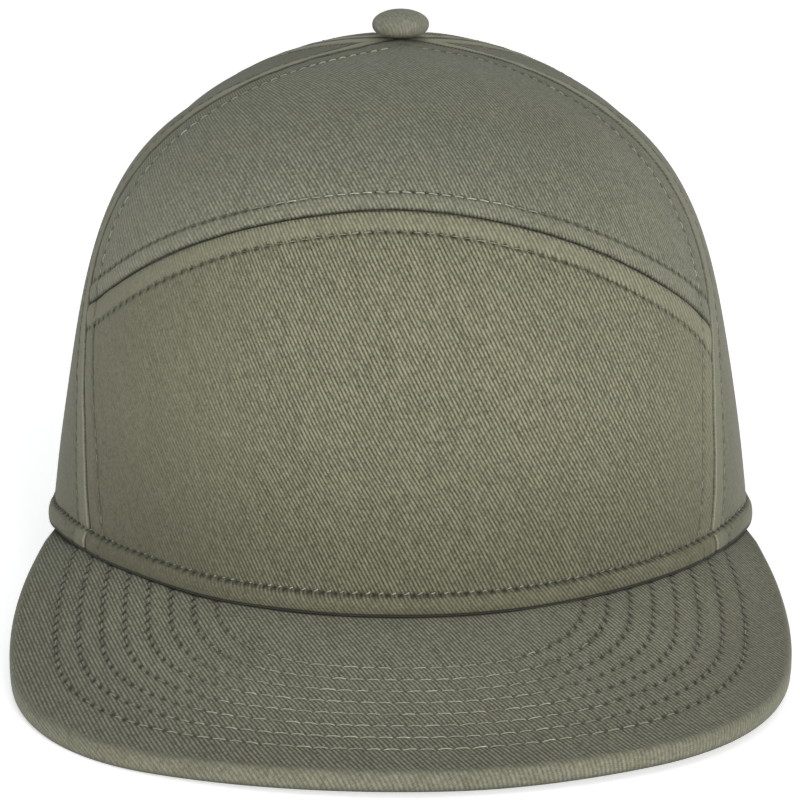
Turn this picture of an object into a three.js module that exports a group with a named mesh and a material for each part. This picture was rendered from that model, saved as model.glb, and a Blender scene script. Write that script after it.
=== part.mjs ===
// Six-panel cap with a flat brim, resting on its brim's front edge and the back of its hem.
// Millimetres, +Z up, the floor is z = 0, the front of the cap faces -Y and +X is the viewer's right.
import * as THREE from 'three';

// ---- crown oval at the hem's stitch line, seen from above
const ovalHalfWidth = 83.8;
const ovalWidestY = -11.4;
const ovalFrontDepth = 77.2;
const ovalFrontPinch = 0.03;
const ovalRearDepth = 121.0;
const ovalRearPinch = -0.055;

// ---- crown height and the bulge of its meridians
const buttonY = 17.0;
const crownTop = 125.8;
const frontPower = 3.56;
const frontLean = 0.0;
const frontPinch = 0.009;
const sidePower = 3.7;
const sideLean = 0.147;
const sidePinch = -0.077;
const rearPower = 2.25;
const rearLean = 0.05;
const frontFullness = 0.76;

// ---- seams between the panels
const sideSeamFoot = 49.0;
const sideSeamSwing = 18.2;
const sideSeamReturn = -14.6;
const backSeamAngle = 118;
const archTop = 106.2;
const archDrop = 37.3;
const archPower = 1.88;
const seamGap = 0.34;
const seamDip = 0.7;
const seamDipWidth = 1.6;

// ---- cloth and hem
const clothThickness = 1.8;
const hemThickness = 2.7;
const stitchHeight = 5.8;
const hemFallStart = -17.5;
const hemFallLength = 100;
const hemFallEase = 0.6;
const topHoleRadius = 5.0;

// ---- sweatband
const bandGap = 0.35;
const bandThickness = 1.2;
const bandHeight = 26;
const bandLift = 0.5;

// ---- brim, drawn flat and then sloped and arched
const brimCornerY = -30.8;
const brimSlope = 6.82;
const brimArch = 0.00185;
const brimThickness = 4.5;
const brimSplay = 11.73;
const brimSideRadius = 196.8;
const brimCornerRadius = 61.4;
const brimFrontRadius = 118.5;
const brimSideTurn = 20.46;
const brimFrontTurn = 27.37;
const brimHorn = 9.6;
const brimTuck = 2.5;
const brimGap = 0.3;
const brimTipThickness = 2.0;
const brimTipTaper = 20;

// ---- button
const buttonRadius = 6.8;
const buttonHalfHeight = 3.1;
const buttonMiddle = 129.3;
const buttonPeak = 0.45;
const buttonNeckRadius = 4.6;
const buttonNeckFoot = 122.6;

// the frame's origin lies under the middle of the bounding box, the crown's own y = 0 lies behind it
const frameShiftY = 22.98;

const rad = Math.PI / 180;
const lerp = (a, b, s) => a + (b - a) * s;
const clamp = (x, lo, hi) => Math.min(hi, Math.max(lo, x));

// plan outline of half the brim, from its corner to the centre line: three arcs of falling and rising radius
function brimOutline(inset, pointsPerArc) {
  const splay = brimSplay * rad;
  const turns = [brimSideTurn * rad, 0, brimFrontTurn * rad];
  turns[1] = Math.PI / 2 + splay - turns[0] - turns[2];
  const radii = [brimSideRadius, brimCornerRadius, brimFrontRadius];
  const walk = (startX) => {
    let x = startX;
    let y = 0;
    let heading = splay;
    const points = [[startX - inset * Math.cos(splay) - brimHorn * Math.sin(splay),
      inset * Math.sin(splay) - brimHorn * Math.cos(splay)]];
    for (let arc = 0; arc < 3; arc += 1) {
      const centreX = x - radii[arc] * Math.cos(heading);
      const centreY = y + radii[arc] * Math.sin(heading);
      for (let k = 0; k < pointsPerArc; k += 1) {
        const a = heading - turns[arc] * k / pointsPerArc;
        points.push([centreX + (radii[arc] - inset) * Math.cos(a), centreY - (radii[arc] - inset) * Math.sin(a)]);
      }
      heading -= turns[arc];
      x = centreX + radii[arc] * Math.cos(heading);
      y = centreY - radii[arc] * Math.sin(heading);
    }
    points.push([x, y - inset]);
    return points;
  };
  const reach = walk(0).at(-1)[0];
  const points = walk(-reach);
  points.at(-1)[0] = 0;
  return points;
}

// height of the brim's upper face over the floor: a plane that falls to the front, arched down to both sides
const slopeTangent = Math.tan(brimSlope * rad);
const slopeCosine = Math.cos(brimSlope * rad);
const brimShape = (x, y) => (Math.min(y, brimCornerY) - brimCornerY) * slopeTangent
  - brimArch * x * x / 2 / slopeCosine;
const toWorld = ([x, y]) => [x, brimCornerY - y * slopeCosine + brimArch * x * x / 2 * (slopeTangent * slopeCosine)];
const brimRimMiddle = brimOutline(brimThickness / 2, 40).map(toWorld);
const brimCornerHeight = brimThickness - Math.min(...brimRimMiddle.map(([x, y]) => brimShape(x, y)));
const brimTop = (x, y) => brimCornerHeight + brimShape(x, y);

// height of the hem's lower edge: on the brim at the front, falling to the floor at the rear
function hemLow(x, y) {
  const s = clamp((y - hemFallStart) / hemFallLength, 0, 1);
  const onBrim = brimTop(x, Math.min(y, hemFallStart)) + brimGap;
  return onBrim * (1 - lerp(s, s * s * (3 - 2 * s), hemFallEase));
}

// oval at the stitch line, an ellipse pinched or filled out at its diagonals, kept as azimuth and distance
const ovalTable = [];
for (let k = 0; k <= 1440; k += 1) {
  const t = Math.PI * k / 1440;
  const c = Math.cos(t);
  const s = Math.sin(t);
  const pinch = 1 - (c > 0 ? ovalFrontPinch : ovalRearPinch) * Math.sin(2 * t) ** 2;
  const x = ovalHalfWidth * s * pinch;
  const y = ovalWidestY - (c > 0 ? ovalFrontDepth : ovalRearDepth) * c * pinch;
  ovalTable.push([Math.atan2(x, buttonY - y), Math.hypot(x, y - buttonY)]);
}
function ovalRadius(azimuth) {
  const a = clamp(Math.abs(azimuth), 0, Math.PI);
  let lo = 0;
  let hi = ovalTable.length - 1;
  while (hi - lo > 1) {
    const mid = (lo + hi) >> 1;
    if (ovalTable[mid][0] <= a) lo = mid;
    else hi = mid;
  }
  const [a0, r0] = ovalTable[lo];
  const [a1, r1] = ovalTable[hi];
  return lerp(r0, r1, clamp((a - a0) / (a1 - a0), 0, 1));
}

// one meridian: a superellipse in polar form, leaned in at its foot and pinched at its shoulder
function meridian(power, lean, pinch, t) {
  const c = Math.cos(t);
  const s = Math.sin(t);
  const r = (c ** power + s ** power) ** (-1 / power) - lean * s * c ** 3 + pinch * Math.sin(2 * t) ** 2;
  return [r * c, r * s];
}

// crown surface: azimuth 0 is the front, t rises from 0 at the stitch line to pi / 2 under the button
function crownPoint(azimuth, t) {
  const radius = ovalRadius(azimuth);
  const footX = radius * Math.sin(azimuth);
  const footY = buttonY - radius * Math.cos(azimuth);
  const footZ = hemLow(footX, footY) + stitchHeight;
  const c = Math.cos(azimuth);
  const front = c > 0 ? c * c * (1 + frontFullness * (1 - c * c)) : 0;
  const rear = c < 0 ? c * c : 0;
  const side = 1 - front - rear;
  const f = meridian(frontPower, frontLean, frontPinch, t);
  const g = meridian(sidePower, sideLean, sidePinch, t);
  const h = meridian(rearPower, rearLean, 0, t);
  const out = front * f[0] + side * g[0] + rear * h[0];
  const up = front * f[1] + side * g[1] + rear * h[1];
  return new THREE.Vector3(footX * out, buttonY + (footY - buttonY) * out, footZ + (crownTop - footZ) * up);
}

// outward normal of the crown from its two tangents
function crownNormal(azimuth, t) {
  const da = 0.004;
  const dt = 0.004;
  const t0 = clamp(t - dt, 0, Math.PI / 2 - 2 * dt);
  const along = crownPoint(azimuth + da, t).sub(crownPoint(azimuth - da, t));
  const upward = crownPoint(azimuth, t0 + 2 * dt).sub(crownPoint(azimuth, t0));
  const normal = along.cross(upward).normalize();
  return normal.z < -0.5 ? normal.negate() : normal;
}

const sideSeam = (t) => (sideSeamFoot + sideSeamSwing * Math.sin(t) + sideSeamReturn * Math.sin(t) ** 2) * rad;
const backSeam = () => backSeamAngle * rad;

// smallest t at which a rising measure of the meridian passes a level
function solveRise(measure, level) {
  let lo = 0;
  let hi = Math.PI / 2;
  for (let k = 0; k < 40; k += 1) {
    const mid = (lo + hi) / 2;
    if (measure(mid) < level) lo = mid;
    else hi = mid;
  }
  return (lo + hi) / 2;
}
const topOfPanel = (azimuth) => solveRise((t) => {
  const p = crownPoint(azimuth(t), t);
  return -Math.hypot(p.x, p.y - buttonY);
}, -topHoleRadius);
const archRise = (u) => solveRise((t) => crownPoint(sideSeam(t) * u, t).z,
  archTop - archDrop * Math.abs(u) ** archPower);

// hem roll below the stitch line: how far it stands out at the rear and front, and how far down it is
const rollRows = [
  { out: 0.9, down: 0.10 },
  { out: 2.0, down: 0.34 },
  { out: 2.1, down: 0.62 },
  { out: 1.3, down: 0.88 },
  { out: 0.0, down: 1.0 },
];
const rollToe = { front: -1.0, rear: 0.8 };

// closed solid between an outer and an inner grid of points with the same rows and columns
function shellSolid(outer, inner, ring) {
  const columns = outer.length;
  const rows = outer[0].length;
  const vertices = [];
  for (const grid of [outer, inner]) {
    for (const column of grid) {
      for (const p of column) vertices.push(p.x, p.y + frameShiftY, p.z);
    }
  }
  const at = (layer, i, j) => layer * columns * rows + (i % columns) * rows + j;
  const faces = [];
  const quad = (a, b, c, d) => faces.push(a, b, c, a, c, d);
  const spans = ring ? columns : columns - 1;
  for (let i = 0; i < spans; i += 1) {
    for (let j = 0; j < rows - 1; j += 1) {
      quad(at(0, i, j), at(0, i + 1, j), at(0, i + 1, j + 1), at(0, i, j + 1));
      quad(at(1, i, j), at(1, i, j + 1), at(1, i + 1, j + 1), at(1, i + 1, j));
    }
    quad(at(1, i, 0), at(1, i + 1, 0), at(0, i + 1, 0), at(0, i, 0));
    quad(at(0, i, rows - 1), at(0, i + 1, rows - 1), at(1, i + 1, rows - 1), at(1, i, rows - 1));
  }
  if (!ring) {
    for (let j = 0; j < rows - 1; j += 1) {
      quad(at(0, 0, j), at(0, 0, j + 1), at(1, 0, j + 1), at(1, 0, j));
      const e = columns - 1;
      quad(at(0, e, j), at(1, e, j), at(1, e, j + 1), at(0, e, j + 1));
    }
  }
  return closedGeometry(vertices, faces);
}

// indexed geometry whose faces look outward: the order is turned round when the volume comes out negative
function closedGeometry(vertices, faces) {
  const p = (k) => new THREE.Vector3(vertices[3 * k], vertices[3 * k + 1], vertices[3 * k + 2]);
  let volume = 0;
  for (let k = 0; k < faces.length; k += 3) {
    volume += p(faces[k]).dot(p(faces[k + 1]).cross(p(faces[k + 2])));
  }
  if (volume < 0) {
    for (let k = 0; k < faces.length; k += 3) {
      [faces[k + 1], faces[k + 2]] = [faces[k + 2], faces[k + 1]];
    }
  }
  const geometry = new THREE.BufferGeometry();
  geometry.setAttribute('position', new THREE.Float32BufferAttribute(vertices, 3));
  geometry.setIndex(faces);
  geometry.computeVertexNormals();
  return geometry;
}

// one crown panel between two azimuth curves, from the hem or a lower limit up to an upper limit
function crownPanel({ from, to, columns, rows, foot, head, hem }) {
  const shares = [0];
  for (let k = 0; k <= columns; k += 1) shares.push(lerp(0.0, 1.0, k / columns));
  shares.push(1);
  const outer = [];
  const inner = [];
  const last = shares.length - 1;
  shares.forEach((share, index) => {
    const azimuthAt = (t) => {
      const reach = Math.max(ovalRadius(from(t)) * Math.cos(Math.min(t, 1.5)), topHoleRadius);
      const edge = seamGap / 2 / reach;
      const dip = Math.min(seamDipWidth / reach, (to(t) - from(t)) * 0.2);
      const a = from(t) + edge;
      const b = to(t) - edge;
      if (index === 0) return a;
      if (index === last) return b;
      return lerp(a + dip, b - dip, share);
    };
    const onSeam = index === 0 || index === last;
    const limitLow = foot ? foot(share, azimuthAt) : 0;
    const limitHigh = head(share, azimuthAt);
    const outerColumn = [];
    const innerColumn = [];
    if (hem) {
      const azimuth = azimuthAt(0);
      const stitch = crownPoint(azimuth, 0);
      const normal = crownNormal(azimuth, 0).setZ(0).normalize();
      const frontness = clamp(Math.cos(azimuth), 0, 1) ** 2;
      for (const row of [...rollRows].reverse()) {
        const toe = row.down === 1 ? lerp(rollToe.rear, rollToe.front, frontness) : row.out;
        const outPoint = stitch.clone().addScaledVector(normal, toe - (onSeam ? 0.5 : 0));
        const inPoint = stitch.clone().addScaledVector(normal, -hemThickness);
        outPoint.z = lerp(stitch.z, hemLow(outPoint.x, outPoint.y), row.down);
        inPoint.z = lerp(stitch.z, hemLow(inPoint.x, inPoint.y), row.down);
        outerColumn.push(outPoint);
        innerColumn.push(inPoint);
      }
    }
    for (let j = 0; j <= rows; j += 1) {
      const t = lerp(limitLow, limitHigh, j / rows);
      const azimuth = azimuthAt(t);
      const point = crownPoint(azimuth, t);
      const normal = crownNormal(azimuth, t);
      const atHead = j === rows && !(hem && !foot && head.hole);
      const atFoot = j === 0 && Boolean(foot);
      const dipped = onSeam || (atHead && !head.hole) || atFoot;
      outerColumn.push(point.clone().addScaledVector(normal, dipped ? -seamDip : 0));
      innerColumn.push(point.clone().addScaledVector(normal, -clothThickness));
    }
    outer.push(outerColumn);
    inner.push(innerColumn);
  });
  return shellSolid(outer, inner, false);
}

// limits of t for the panels: the arched seam with its share of the gap, and the hole under the button
const seamStep = (u, t) => {
  const a = crownPoint(sideSeam(t) * u, t);
  const b = crownPoint(sideSeam(t + 0.01) * u, t + 0.01);
  return 0.01 / a.distanceTo(b);
};
const archShare = (share) => lerp(-1, 1, share);
const archBelow = (share) => {
  const t = archRise(archShare(share));
  return t - seamGap / 2 * seamStep(archShare(share), t);
};
const archAbove = (share) => {
  const t = archRise(archShare(share));
  return t + seamGap / 2 * seamStep(archShare(share), t);
};
const holeLimit = (share, azimuthAt) => topOfPanel(azimuthAt);
holeLimit.hole = true;

const mirrorX = (geometry) => {
  const copy = geometry.clone();
  const vertices = Array.from(copy.getAttribute('position').array);
  for (let k = 0; k < vertices.length; k += 3) vertices[k] = -vertices[k];
  return closedGeometry(vertices, Array.from(copy.getIndex().array));
};

const frontLower = crownPanel({
  from: (t) => -sideSeam(t), to: sideSeam, columns: 20, rows: 8, head: archBelow, hem: true,
});
const frontUpper = crownPanel({
  from: (t) => -sideSeam(t), to: sideSeam, columns: 20, rows: 8, foot: archAbove, head: holeLimit, hem: false,
});
const sidePanel = crownPanel({
  from: sideSeam, to: backSeam, columns: 8, rows: 14, head: holeLimit, hem: true,
});
const backPanel = crownPanel({
  from: backSeam, to: () => Math.PI, columns: 9, rows: 14, head: holeLimit, hem: true,
});

// sweatband: a ring that follows the inside of the hem and the wall above it
function sweatband() {
  const outer = [];
  const inner = [];
  const columns = 72;
  for (let i = 0; i < columns; i += 1) {
    const azimuth = (i / columns * 2 - 1) * Math.PI;
    const stitch = crownPoint(azimuth, 0);
    const flat = crownNormal(azimuth, 0).setZ(0).normalize();
    const outerColumn = [];
    const innerColumn = [];
    const foot = stitch.clone().addScaledVector(flat, -hemThickness - bandGap);
    const footInner = foot.clone().addScaledVector(flat, -bandThickness);
    foot.z = hemLow(foot.x, foot.y) + bandLift;
    footInner.z = hemLow(footInner.x, footInner.y) + bandLift;
    outerColumn.push(foot);
    innerColumn.push(footInner);
    for (const share of [0.02, 0.34, 0.67, 1]) {
      const level = stitch.z + share * (bandHeight - stitchHeight);
      const t = solveRise((s) => crownPoint(azimuth, s).z, level);
      const point = crownPoint(azimuth, t);
      const normal = crownNormal(azimuth, t).setZ(0).normalize();
      const p = point.clone().addScaledVector(normal, -hemThickness - bandGap);
      outerColumn.push(p);
      innerColumn.push(p.clone().addScaledVector(normal, -bandThickness));
    }
    outer.push(outerColumn);
    inner.push(innerColumn);
  }
  return shellSolid(outer, inner, true);
}

// points spread evenly along a polyline
function evenPoints(points, count) {
  const lengths = [0];
  for (let k = 1; k < points.length; k += 1) {
    lengths.push(lengths[k - 1] + Math.hypot(points[k][0] - points[k - 1][0], points[k][1] - points[k - 1][1]));
  }
  const result = [];
  let k = 1;
  for (let i = 0; i < count; i += 1) {
    const target = lengths.at(-1) * i / (count - 1);
    while (k < points.length - 1 && lengths[k] < target) k += 1;
    const s = clamp((target - lengths[k - 1]) / (lengths[k] - lengths[k - 1]), 0, 1);
    result.push([lerp(points[k - 1][0], points[k][0], s), lerp(points[k - 1][1], points[k][1], s)]);
  }
  return result;
}

// brim: sections from the tucked inner edge to the rounded outer edge, from one corner round to the other
function brim() {
  const half = 31;
  const rim = evenPoints(brimRimMiddle, half);
  const tip = brimRimMiddle[0];
  const tuckAt = (azimuth) => {
    const stitch = crownPoint(azimuth, 0);
    const flat = crownNormal(azimuth, 0).setZ(0).normalize();
    return [stitch.x - flat.x * brimTuck, stitch.y - flat.y * brimTuck];
  };
  const tipAzimuth = Math.atan2(tip[0], buttonY - tip[1]);
  const tuckLine = [];
  for (let k = 0; k <= 60; k += 1) tuckLine.push(tuckAt(tipAzimuth * (1 - k / 60)));
  const tuck = evenPoints(tuckLine, half);
  const sections = [];
  for (let i = 0; i < half * 2 - 1; i += 1) {
    const mirror = i >= half ? -1 : 1;
    const k = i >= half ? half * 2 - 2 - i : i;
    const [ix, iy] = tuck[k];
    const [ox, oy] = rim[k];
    const before = rim[Math.max(k - 1, 0)];
    const after = k === half - 1 ? [-rim[k - 1][0], rim[k - 1][1]] : rim[k + 1];
    const tangent = new THREE.Vector2(after[0] - before[0], after[1] - before[1]).normalize();
    const outward = k === half - 1 ? new THREE.Vector2(0, -1) : new THREE.Vector2(-tangent.y, tangent.x);
    if (outward.x * ox + outward.y * (oy + 60) < 0) outward.negate();
    const share = clamp(Math.hypot(ox - tip[0], oy - tip[1]) / brimTipTaper, 0, 1);
    const thickness = lerp(brimTipThickness, brimThickness, share * share * (3 - 2 * share));
    const radius = thickness / 2;
    const section = [];
    const place = (x, y, z) => section.push(new THREE.Vector3(x * mirror, y, z));
    for (let s = 0; s <= 4; s += 1) {
      const x = lerp(ix, ox, s / 4);
      const y = lerp(iy, oy, s / 4);
      place(x, y, brimTop(x, y));
    }
    for (const degrees of [54, 18, -18, -54]) {
      const out = radius * Math.cos(degrees * rad);
      const rise = radius * Math.sin(degrees * rad);
      place(ox + outward.x * out, oy + outward.y * out, brimTop(ox, oy) - radius + rise);
    }
    for (let s = 4; s >= 0; s -= 1) {
      const x = lerp(ix, ox, s / 4);
      const y = lerp(iy, oy, s / 4);
      place(x, y, brimTop(x, y) - thickness);
    }
    sections.push(section);
  }
  const count = sections[0].length;
  const vertices = [];
  for (const section of sections) {
    for (const p of section) vertices.push(p.x, p.y + frameShiftY, p.z);
  }
  const faces = [];
  for (let i = 0; i < sections.length - 1; i += 1) {
    for (let j = 0; j < count; j += 1) {
      const next = (j + 1) % count;
      const a = i * count + j;
      const b = i * count + next;
      faces.push(a, b, b + count, a, b + count, a + count);
    }
  }
  const lastStart = (sections.length - 1) * count;
  for (const start of [0, lastStart]) {
    for (let j = 0; j < count / 2 - 1; j += 1) {
      const a = start + j;
      const b = start + j + 1;
      const c = start + count - 2 - j;
      const d = start + count - 1 - j;
      const loop = start === 0 ? [a, c, b, a, d, c] : [a, b, c, a, c, d];
      faces.push(...loop);
    }
  }
  return closedGeometry(vertices, faces);
}

// covered button: a flattened ball with a small peak, on a neck that passes the hole in the crown
function button() {
  const profile = [new THREE.Vector2(0, buttonNeckFoot), new THREE.Vector2(buttonNeckRadius, buttonNeckFoot)];
  const start = -Math.acos(buttonNeckRadius / buttonRadius);
  for (let k = 0; k <= 12; k += 1) {
    const a = lerp(start, Math.PI / 2, k / 12);
    const r = k === 12 ? 0 : buttonRadius * Math.cos(a);
    const peak = buttonPeak * Math.exp(-((r / 2.2) ** 2));
    profile.push(new THREE.Vector2(r, buttonMiddle + buttonHalfHeight * Math.sin(a) + peak));
  }
  const geometry = new THREE.LatheGeometry(profile, 28);
  geometry.rotateX(Math.PI / 2);
  geometry.translate(0, buttonY + frameShiftY, 0);
  return geometry;
}

const cloth = (color) => new THREE.MeshStandardMaterial({ color, roughness: 0.92, metalness: 0 });
const group = new THREE.Group();
group.name = 'six_panel_cap';
const pieces = [
  ['front_lower_panel', frontLower, 0x7d7c68],
  ['front_upper_panel', frontUpper, 0x747465],
  ['side_panel_left', mirrorX(sidePanel), 0x747463],
  ['side_panel_right', sidePanel, 0x747463],
  ['back_panel_left', mirrorX(backPanel), 0x727261],
  ['back_panel_right', backPanel, 0x727261],
  ['brim', brim(), 0x6a6a5b],
  ['button', button(), 0x7b7b6c],
  ['sweatband', sweatband(), 0x4d4d45],
];
for (const [name, geometry, color] of pieces) {
  const mesh = new THREE.Mesh(geometry, cloth(color));
  mesh.name = name;
  group.add(mesh);
}

export default group;
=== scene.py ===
import bpy
import math
import numpy as np
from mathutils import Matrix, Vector


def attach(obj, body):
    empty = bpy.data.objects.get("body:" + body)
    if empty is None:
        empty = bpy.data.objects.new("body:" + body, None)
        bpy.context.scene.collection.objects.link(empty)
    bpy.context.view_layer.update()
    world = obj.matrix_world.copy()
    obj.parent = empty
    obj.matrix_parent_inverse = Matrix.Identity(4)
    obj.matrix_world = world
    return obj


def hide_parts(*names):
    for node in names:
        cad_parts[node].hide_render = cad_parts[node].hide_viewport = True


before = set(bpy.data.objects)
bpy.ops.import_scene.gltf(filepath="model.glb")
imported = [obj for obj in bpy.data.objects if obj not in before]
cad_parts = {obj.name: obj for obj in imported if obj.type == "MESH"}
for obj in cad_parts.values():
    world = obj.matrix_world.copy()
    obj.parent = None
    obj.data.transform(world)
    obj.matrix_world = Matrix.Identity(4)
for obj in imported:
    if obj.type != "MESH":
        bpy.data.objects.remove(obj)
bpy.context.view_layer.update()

# Lengths in the dictionaries are millimetres, and the shapes are worked out in millimetres with the crown's
# widest line at y = 0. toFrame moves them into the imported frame, in metres.
frameShiftY = 22.98
millimetre = 0.001

crown = {
    "ovalHalfWidth": 83.8, "ovalWidestY": -11.4,
    "ovalFrontDepth": 77.2, "ovalFrontPinch": 0.03,
    "ovalRearDepth": 121.0, "ovalRearPinch": -0.055,
    "buttonY": 17.0, "top": 125.8, "holeRadius": 1.6, "pull": 0.5, "pullReach": 9.0,
    "frontPower": 3.56, "frontLean": 0.0, "frontPinch": 0.009,
    "sidePower": 3.7, "sideLean": 0.147, "sidePinch": -0.077,
    "rearPower": 2.25, "rearLean": 0.05, "frontFullness": 0.76,
    "seamFoot": 49.0, "seamSwing": 18.2, "seamReturn": -14.6, "backSeam": 118.0,
    "archTop": 106.2, "archDrop": 37.3, "archPower": 1.88,
    "wall": 1.8, "hemWall": 2.7, "stitchHeight": 5.1,
    "hemFallStart": -17.5, "hemFallLength": 100.0, "hemFallEase": 0.6,
}

brim = {
    "cornerY": -30.8, "slope": 6.82, "arch": 0.00185, "thickness": 4.5,
    "splay": 11.73, "sideRadius": 196.8, "cornerRadius": 61.4, "frontRadius": 118.5,
    "sideTurn": 20.46, "frontTurn": 27.37, "horn": 9.6, "tuck": 2.5, "gap": 0.3,
    "tipThickness": 2.0, "tipTaper": 20.0, "edgePower": 3.2, "rowStart": 1.3,
    "rowInset": 10.47, "rowPitch": 5.24, "rows": 8, "rowRounding": 0.62,
    "rowDepth": 0.13, "rowWidth": 0.7, "puff": 0.05, "cornerLift": 2.0, "grainTurn": 0.0042, "grainBow": 0.0007,
    "rootRise": 1.45, "rootLeft": 0.95, "rootRight": 0.4, "rootReach": 32.0, "frontRise": 0.55,
    "columns": 340, "topRows": 168, "edgeRows": 14, "bottomRows": 66,
}

seams = {
    "dip": 0.75, "dipWidth": 0.3, "stitchInset": 6.0, "upperInset": 4.5, "lowerInset": 5.5,
    "grooveDepth": 0.16, "grooveWidth": 0.55,
    "sidePuff": 0.12, "archPuff": 0.16, "ridge": 0.16, "hemDip": 0.24, "hemDipWidth": 0.55,
    "stitchLength": 2.9, "hemStitchLength": 2.96, "rowStitchLength": 3.77, "ripple": 0.07, "waviness": 0.1,
    # bends of the two front seams: degrees, middle in t, width in t
    "rightSway": [(0.8, 0.6, 0.15), (-1.4, 0.3, 0.17), (-1.2, 0.93, 0.15)],
    "leftSway": [(2.8, 0.62, 0.22), (-2.4, 1.06, 0.2), (-0.5, 0.2, 0.12)],
}

hem = {
    "bulge": 2.0, "rearBulge": 1.05, "scallop": 0.2, "fullness": 0.8, "toeFront": -1.0, "toeRear": 1.5,
    "seamPull": 0.35, "wave": 0.07, "wrap": 2.5, "rows": 22,
}
# distance in the marks of a place that has no seam near it
farAway = 60


def toFrame(points):
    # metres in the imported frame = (x, y + shift, z) / 1000
    return (np.asarray(points, float) + [0.0, frameShiftY, 0.0]) * millimetre


def smoothStep(x, low, high):
    # 0 below low, 1 above high, 3s^2 - 2s^3 between
    s = np.clip((x - low) / (high - low), 0.0, 1.0)
    return s * s * (3 - 2 * s)


def bell(x, width):
    # e to the power of minus (x / width) squared
    return np.exp(-(x / width) ** 2)


def wander(a, b, seed, shortest, longest, waves=9):
    # soft unevenness: a mean of sines over (a, b) with seeded directions and lengths
    rng = np.random.default_rng(seed)
    total = np.zeros(np.broadcast(a, b).shape)
    for _ in range(waves):
        turn, phase = rng.uniform(0, 2 * math.pi, 2)
        length = rng.uniform(shortest, longest)
        total += np.sin((a * math.cos(turn) + b * math.sin(turn)) * 2 * math.pi / length + phase)
    return total / math.sqrt(waves)


def brimOutline(inset, perArc=160):
    # half outline: three arcs walked from the corner to the centre line, each radius less the inset
    splay = math.radians(brim["splay"])
    turns = [math.radians(brim["sideTurn"]), 0.0, math.radians(brim["frontTurn"])]
    turns[1] = math.pi / 2 + splay - turns[0] - turns[2]
    radii = [brim["sideRadius"], brim["cornerRadius"], brim["frontRadius"]]
    points, heading, x, y = [], splay, 0.0, 0.0
    for radius, turn in zip(radii, turns):
        centre = np.array([x - radius * math.cos(heading), y + radius * math.sin(heading)])
        a = heading - np.linspace(0, turn, perArc, endpoint=False)
        points.append(centre + (radius - inset) * np.stack([np.cos(a), -np.sin(a)], 1))
        heading -= turn
        x, y = centre + radius * np.array([math.cos(heading), -math.sin(heading)])
    points.append(np.array([[x, y - inset]]))
    path = np.concatenate(points)
    path[:, 0] -= x
    horn = path[0] - brim["horn"] * np.array([math.sin(splay), math.cos(splay)])
    steps = np.linspace(0, 1, 12, endpoint=False)[:, None]
    return np.concatenate([horn + (path[0] - horn) * steps, path])


slopeTangent = math.tan(math.radians(brim["slope"]))
slopeCosine = math.cos(math.radians(brim["slope"]))


def brimShape(x, y):
    # a plane falling to the front, less arch * x^2 / 2
    return (np.minimum(y, brim["cornerY"]) - brim["cornerY"]) * slopeTangent \
        - brim["arch"] * x * x / 2 / slopeCosine


def brimToPlan(flat):
    # flat outline (x, forward) to plan (x, y)
    x, forward = flat[:, 0], flat[:, 1]
    y = brim["cornerY"] - forward * slopeCosine + brim["arch"] * x * x / 2 * slopeTangent * slopeCosine
    return np.stack([x, y], 1)


rimMiddle = brimToPlan(brimOutline(brim["thickness"] / 2))
brimCornerHeight = brim["thickness"] - brimShape(rimMiddle[:, 0], rimMiddle[:, 1]).min()


def brimTop(x, y):
    # its lowest point is the brim's thickness above the floor
    return brimCornerHeight + brimShape(x, y)


def rootRise(x, y):
    # the photographed brim stands higher where the crown sits on it, most at its left
    left, right = smoothStep(-x, 42, 64), smoothStep(x, 20, 60)
    return (brim["rootRise"] + brim["rootLeft"] * left + brim["rootRight"] * right) * smoothStep(-y, 8, 46)


def hemLow(x, y):
    # on the brim in front, easing down to the floor at the rear
    s = np.clip((y - crown["hemFallStart"]) / crown["hemFallLength"], 0, 1)
    onBrim = brimTop(x, np.minimum(y, crown["hemFallStart"])) + brim["gap"]
    return onBrim * (1 - (s + (s * s * (3 - 2 * s) - s) * crown["hemFallEase"])) + rootRise(x, y)


def ovalTable():
    # ellipse halves, each radius times 1 - pinch * sin^2(2t), as azimuth about the button and distance
    t = np.linspace(0, math.pi, 1441)
    c, s = np.cos(t), np.sin(t)
    pinch = 1 - np.where(c > 0, crown["ovalFrontPinch"], crown["ovalRearPinch"]) * np.sin(2 * t) ** 2
    depth = np.where(c > 0, crown["ovalFrontDepth"], crown["ovalRearDepth"])
    x = crown["ovalHalfWidth"] * s * pinch
    y = crown["ovalWidestY"] - depth * c * pinch
    return np.arctan2(x, crown["buttonY"] - y), np.hypot(x, y - crown["buttonY"])


ovalAzimuth, ovalReach = ovalTable()


def meridian(power, lean, pinch, t):
    # polar superellipse: r = (cos^n + sin^n)^(-1/n) - lean sin cos^3 + pinch sin^2(2t)
    c, s = np.cos(t), np.sin(t)
    r = (np.abs(c) ** power + np.abs(s) ** power) ** (-1 / power) - lean * s * c ** 3 + pinch * np.sin(2 * t) ** 2
    return r * c, r * s


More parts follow.
